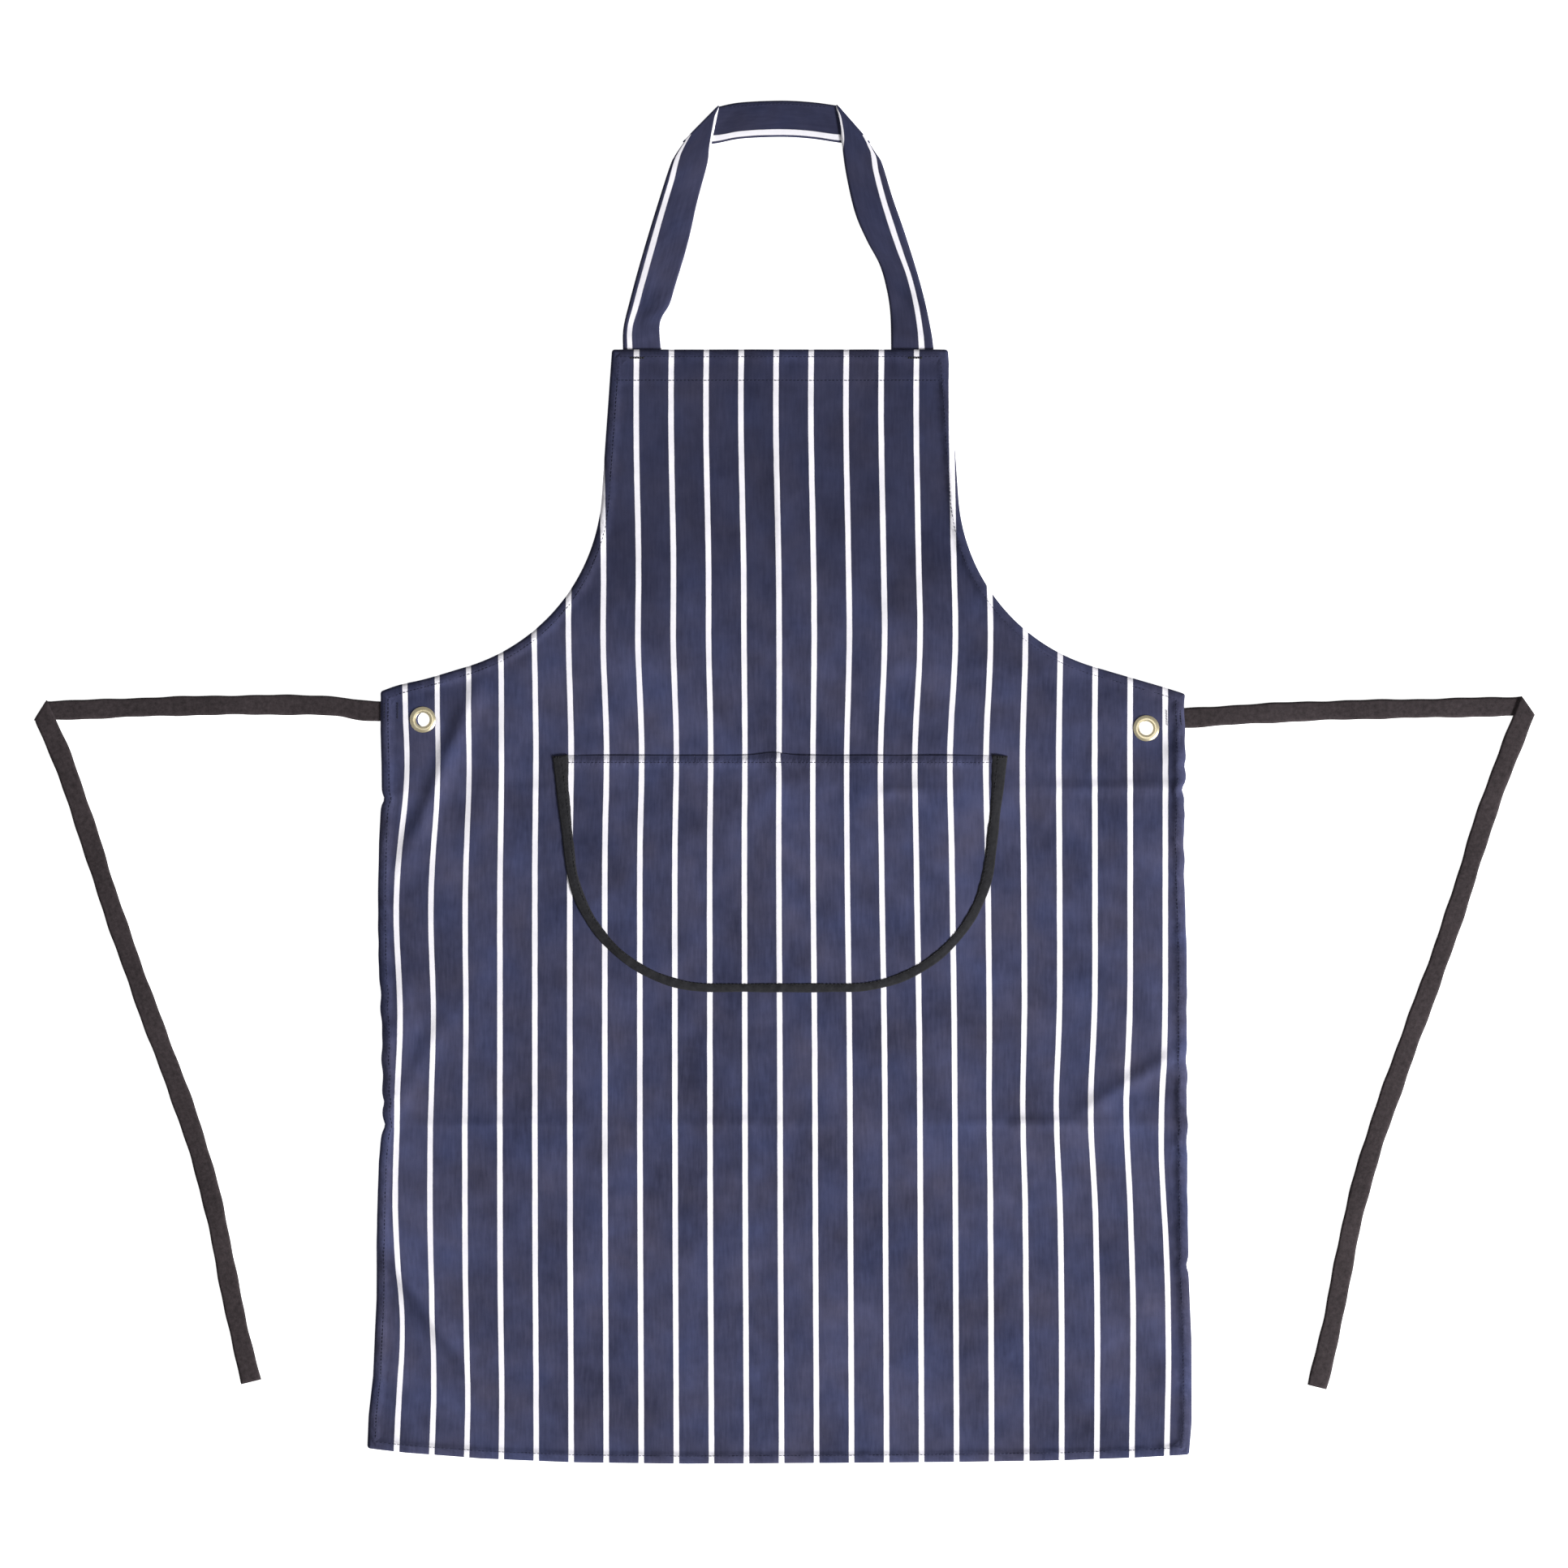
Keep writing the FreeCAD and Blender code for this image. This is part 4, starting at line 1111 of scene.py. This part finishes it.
def by_share(points, count):
    """A smooth line's points at equal shares of its length."""
    line, at = resample(curve_through(points), 0.5)
    shares = np.linspace(0, at[-1], count)
    return np.column_stack([np.interp(shares, at, line[:, k]) for k in (0, 1)]), at[-1]


def strap_height(run, s, length, across):
    """The middle of the strap's cloth above the table; across is 0 at its inner edge, 1 at the outer."""
    crown = 0.3 * (1 - (2 * across - 1) ** 2)
    if run == 1:
        return 0.65 + 0.15 * np.sin(s / 14) * across * smooth(s, 10, 40) + 0.2 * crown
    from_fold = length - s if run == 0 else s
    from_bib = s if run == 0 else length - s
    over = 1.45 * (1 - smooth(from_fold, 30, 64))
    kink = 58 if run == 0 else 66
    buckle = 1.5 * math.exp(-((from_bib - kink) / 13) ** 2) * (0.5 + 0.5 * np.sin(7 * across + run))
    buckle = buckle + 0.7 * math.exp(-((from_bib - 36) / 6) ** 2) * across
    return 0.57 + over + (0.05 + crown) * smooth(from_bib, 25, 36) + buckle


def make_neck_strap():
    columns = 15
    across = np.linspace(0, 1, columns)
    runs = [(LEFT_INNER, LEFT_OUTER), (STRIP_UPPER, STRIP_LOWER), (RIGHT_INNER, RIGHT_OUTER)]
    rows = []
    gone, face = 0.0, 1.0
    for run, (inner, outer) in enumerate(runs):
        count = 44 if run == 1 else 84
        inner_line, inner_length = by_share(inner, count)
        outer_line, outer_length = by_share(outer, count)
        length = (inner_length + outer_length) / 2
        for i in range(count):
            s = length * i / (count - 1)
            flat = inner_line[i] + across[:, None] * (outer_line[i] - inner_line[i])
            height = strap_height(run, s, length, across)
            normals = np.tile([0, 0, face], (columns, 1))
            rows.append((np.column_stack([flat, height]), normals, gone + s))
        if run < 2:
            crease = unit(outer_line[-1] - inner_line[-1])
            way = unit(outer_line[-2] + inner_line[-2] - outer_line[-1] - inner_line[-1]) * -1
            if run == 1:
                way = np.array([1.0, 0.3])
            out = unit(way - (way @ crease) * crease)
            low = strap_height(run, length, length, across)
            high = strap_height(run + 1, 0.0, 300.0, across)
            for turn, points, normals in round_fold(flat, out, 0.8, low, high, face,
                                                    (0.2, 0.4, 0.6, 0.8)):
                rows.append((points, normals, gone + length + turn))
            gone += length + 1.0
            face = -face
    total = rows[-1][2]
    fold_left, fold_right = total * 0.38, total * 0.62
    placed = []
    for points, normals, s in rows:
        centre = np.interp(s, (0, fold_left - 40, fold_left, fold_right, fold_right + 30, total),
                           (6.4, 6.0, 4.2, 4.2, 8.6, 10.0))
        turned_under = (smooth(s, fold_left - 3, fold_left + 5)
                        - smooth(s, fold_right - 5, fold_right + 3))
        from_outer = (1 - across) * (35.2 - 3.6 * turned_under)
        peek = 7.0 * smooth(from_outer, 29, 35.2) * math.exp(-((s - fold_right - 14) / 16) ** 2)
        placed.append((points, normals, np.column_stack([from_outer + peek - centre, 0 * across + s])))
    strap = tape_piece("neck_strap_loop", placed, STRAP_CLOTH, NAVY)
    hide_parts("neck_strap", "left_strap_end", "right_strap_end")
    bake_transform(strap)


# ------------------------------------------------------------------ sewing
def sew(name, lines, thread, surface, stands_for, body, stitch=2.7, gap=0.7, thick=0.42):
    """Separate stitches along each line of flat points; each dips into the cloth at both ends. They ride
    on their body, or keep their place with their transform baked into the mesh where body is None."""
    vertices, faces, flat = [], [], []
    sides = 6
    for line in lines:
        points, at = resample(line, 0.5)
        start = 0.4
        while start + stitch < at[-1]:
            spots = []
            for t in (0.0, 0.12, 0.5, 0.88, 1.0):
                s = start + stitch * t
                spots.append([np.interp(s, at, points[:, 0]), np.interp(s, at, points[:, 1])])
            spots = np.array(spots)
            x, y, z = surface(spots[:, 0], spots[:, 1])
            lift = np.array([-0.22, 0.02, 0.12, 0.02, -0.22])
            middle = np.column_stack([x, y, z + lift])
            along = unit(middle[-1] - middle[0])
            side = unit(np.cross([0, 0, 1], along))
            first = len(vertices)
            for j, centre in enumerate(middle):
                radius = thick / 2 * (0.55 if j in (0, 4) else 1.0)
                for k in range(sides):
                    angle = 2 * math.pi * k / sides
                    vertices.append(centre + side * radius * math.cos(angle)
                                    + np.array([0, 0, 1]) * radius * math.sin(angle))
                    flat.append((start + j * stitch / 4, k * 0.2))
            for j in range(4):
                for k in range(sides):
                    a = first + j * sides + k
                    b = first + j * sides + (k + 1) % sides
                    faces.append((a, a + sides, b + sides, b))
            faces.append(tuple(first + k for k in range(sides)))
            faces.append(tuple(first + 4 * sides + k for k in reversed(range(sides))))
            start += stitch + gap
    piece = new_piece(name, vertices, faces, flat, THREADS[thread])
    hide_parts(*stands_for)
    if body is None:
        blend_at_fold(piece)
    else:
        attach(piece, body)


def on_panel(x, y):
    shown = lie(x, y)
    return shown[0], shown[1], FACE + 0.06 + shown[2] + lap_lift(x, y)


def on_pocket_hem(x, y):
    shown = lie(x, y)
    return shown[0], shown[1], FACE - 0.3 + shown[2] + pocket_lift(x, y) + CLOTH + 0.1


def on_binding(x, y):
    shown = lie(x, y)
    inner, outer = binding_widths(y)
    return shown[0], shown[1], shown[2] + binding_height(x, y, -3.2, inner, outer)


def bartack(x0, x1, y):
    """Close zigzag lines of a tack from x0 to x1."""
    return [[(x0, y + k), (x1, y + k)] for k in (-0.5, 0.0, 0.5)]


def row_across(half, y):
    """A straight row of sewing from side to side."""
    return [(-half, y), (half, y)]


def make_sewing():
    sew("bottom_hem_stitches", [row_across(SKIRT_HALF - 3, HEM_Y + 6.4)], "navy_thread", on_panel,
        ["bottom_hem_stitching"], "skirt")
    ring = np.array(panel_outline(1.5, 6.6))
    for side, sign, strap_x in (("left", -1, -124), ("right", 1, 118)):
        half = ring[(ring[:, 0] * sign > 0) & (ring[:, 1] > HEM_Y + 9) & (ring[:, 1] < BIB_TOP - 9)]
        order = np.argsort(np.where(np.abs(half[:, 0]) > SKIRT_HALF - 8, half[:, 1],
                                    half[:, 1] + (SKIRT_HALF - np.abs(half[:, 0])) * 3))
        sew(side + "_edge_stitches", [half[order]], "navy_thread", on_panel,
            [side + "_side_stitching", side + "_armhole_stitching"], None)
        low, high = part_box(side + "_tie_end")
        middle = (low[1] + high[1]) / 2 / MM
        lines = [[(sign * x, middle - 7), (sign * x, middle + 7)]
                 for x in (SKIRT_HALF - 15, SKIRT_HALF - 3)]
        sew(side + "_tie_stitches", lines, "black_thread", on_panel, [side + "_tie_stitching"],
            "skirt", stitch=2.0, gap=0.3)
        sew(side + "_strap_stitches", bartack(strap_x - 7, strap_x + 7, BIB_TOP - 7), "black_thread",
            on_panel, [side + "_strap_stitching"], "bib", stitch=1.9, gap=0.2, thick=0.6)
        tack_x = sign * (POCKET_HALF - 1)
        sew(side + "_pocket_bartack_stitches", bartack(tack_x - 4, tack_x + 4, POCKET_TOP - 1.4),
            "black_thread", on_binding, [side + "_pocket_bartack"], "skirt", stitch=1.9, gap=0.2)
    sew("bib_hem_stitches",
        [row_across(BIB_HALF - 1, BIB_TOP - BIB_HEM + 1.3),
         row_across(BIB_HALF - 3, BIB_TOP - 6.2)],
        "navy_thread", on_panel, ["bib_hem_stitching"], "bib")
    sew("pocket_mouth_stitches", [row_across(POCKET_HALF - 5, POCKET_TOP - 6)], "navy_thread",
        on_pocket_hem, ["pocket_hem_stitching"], "skirt")
    sew("pocket_binding_stitches", [pocket_line(-3.4, 1.5, False)], "black_thread", on_binding,
        ["pocket_binding_stitching"], "skirt")
    sew("neck_strap_stitches", [[(-44, 587.4), (0, 590.6), (42, 587.2)]], "navy_thread",
        lambda x, y: (x, y, np.full_like(x, 1.25)), ["neck_strap_stitching"], "neck_strap")


def dress_cad_nodes():
    for name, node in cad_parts.items():
        if "eyelet" in name:
            node.data.materials.clear()
            node.data.materials.append(BRASS)


make_stage()
make_tie("left")
make_tie("right")
make_panel()
make_pocket()
make_binding()
make_neck_strap()
make_sewing()
dress_cad_nodes()
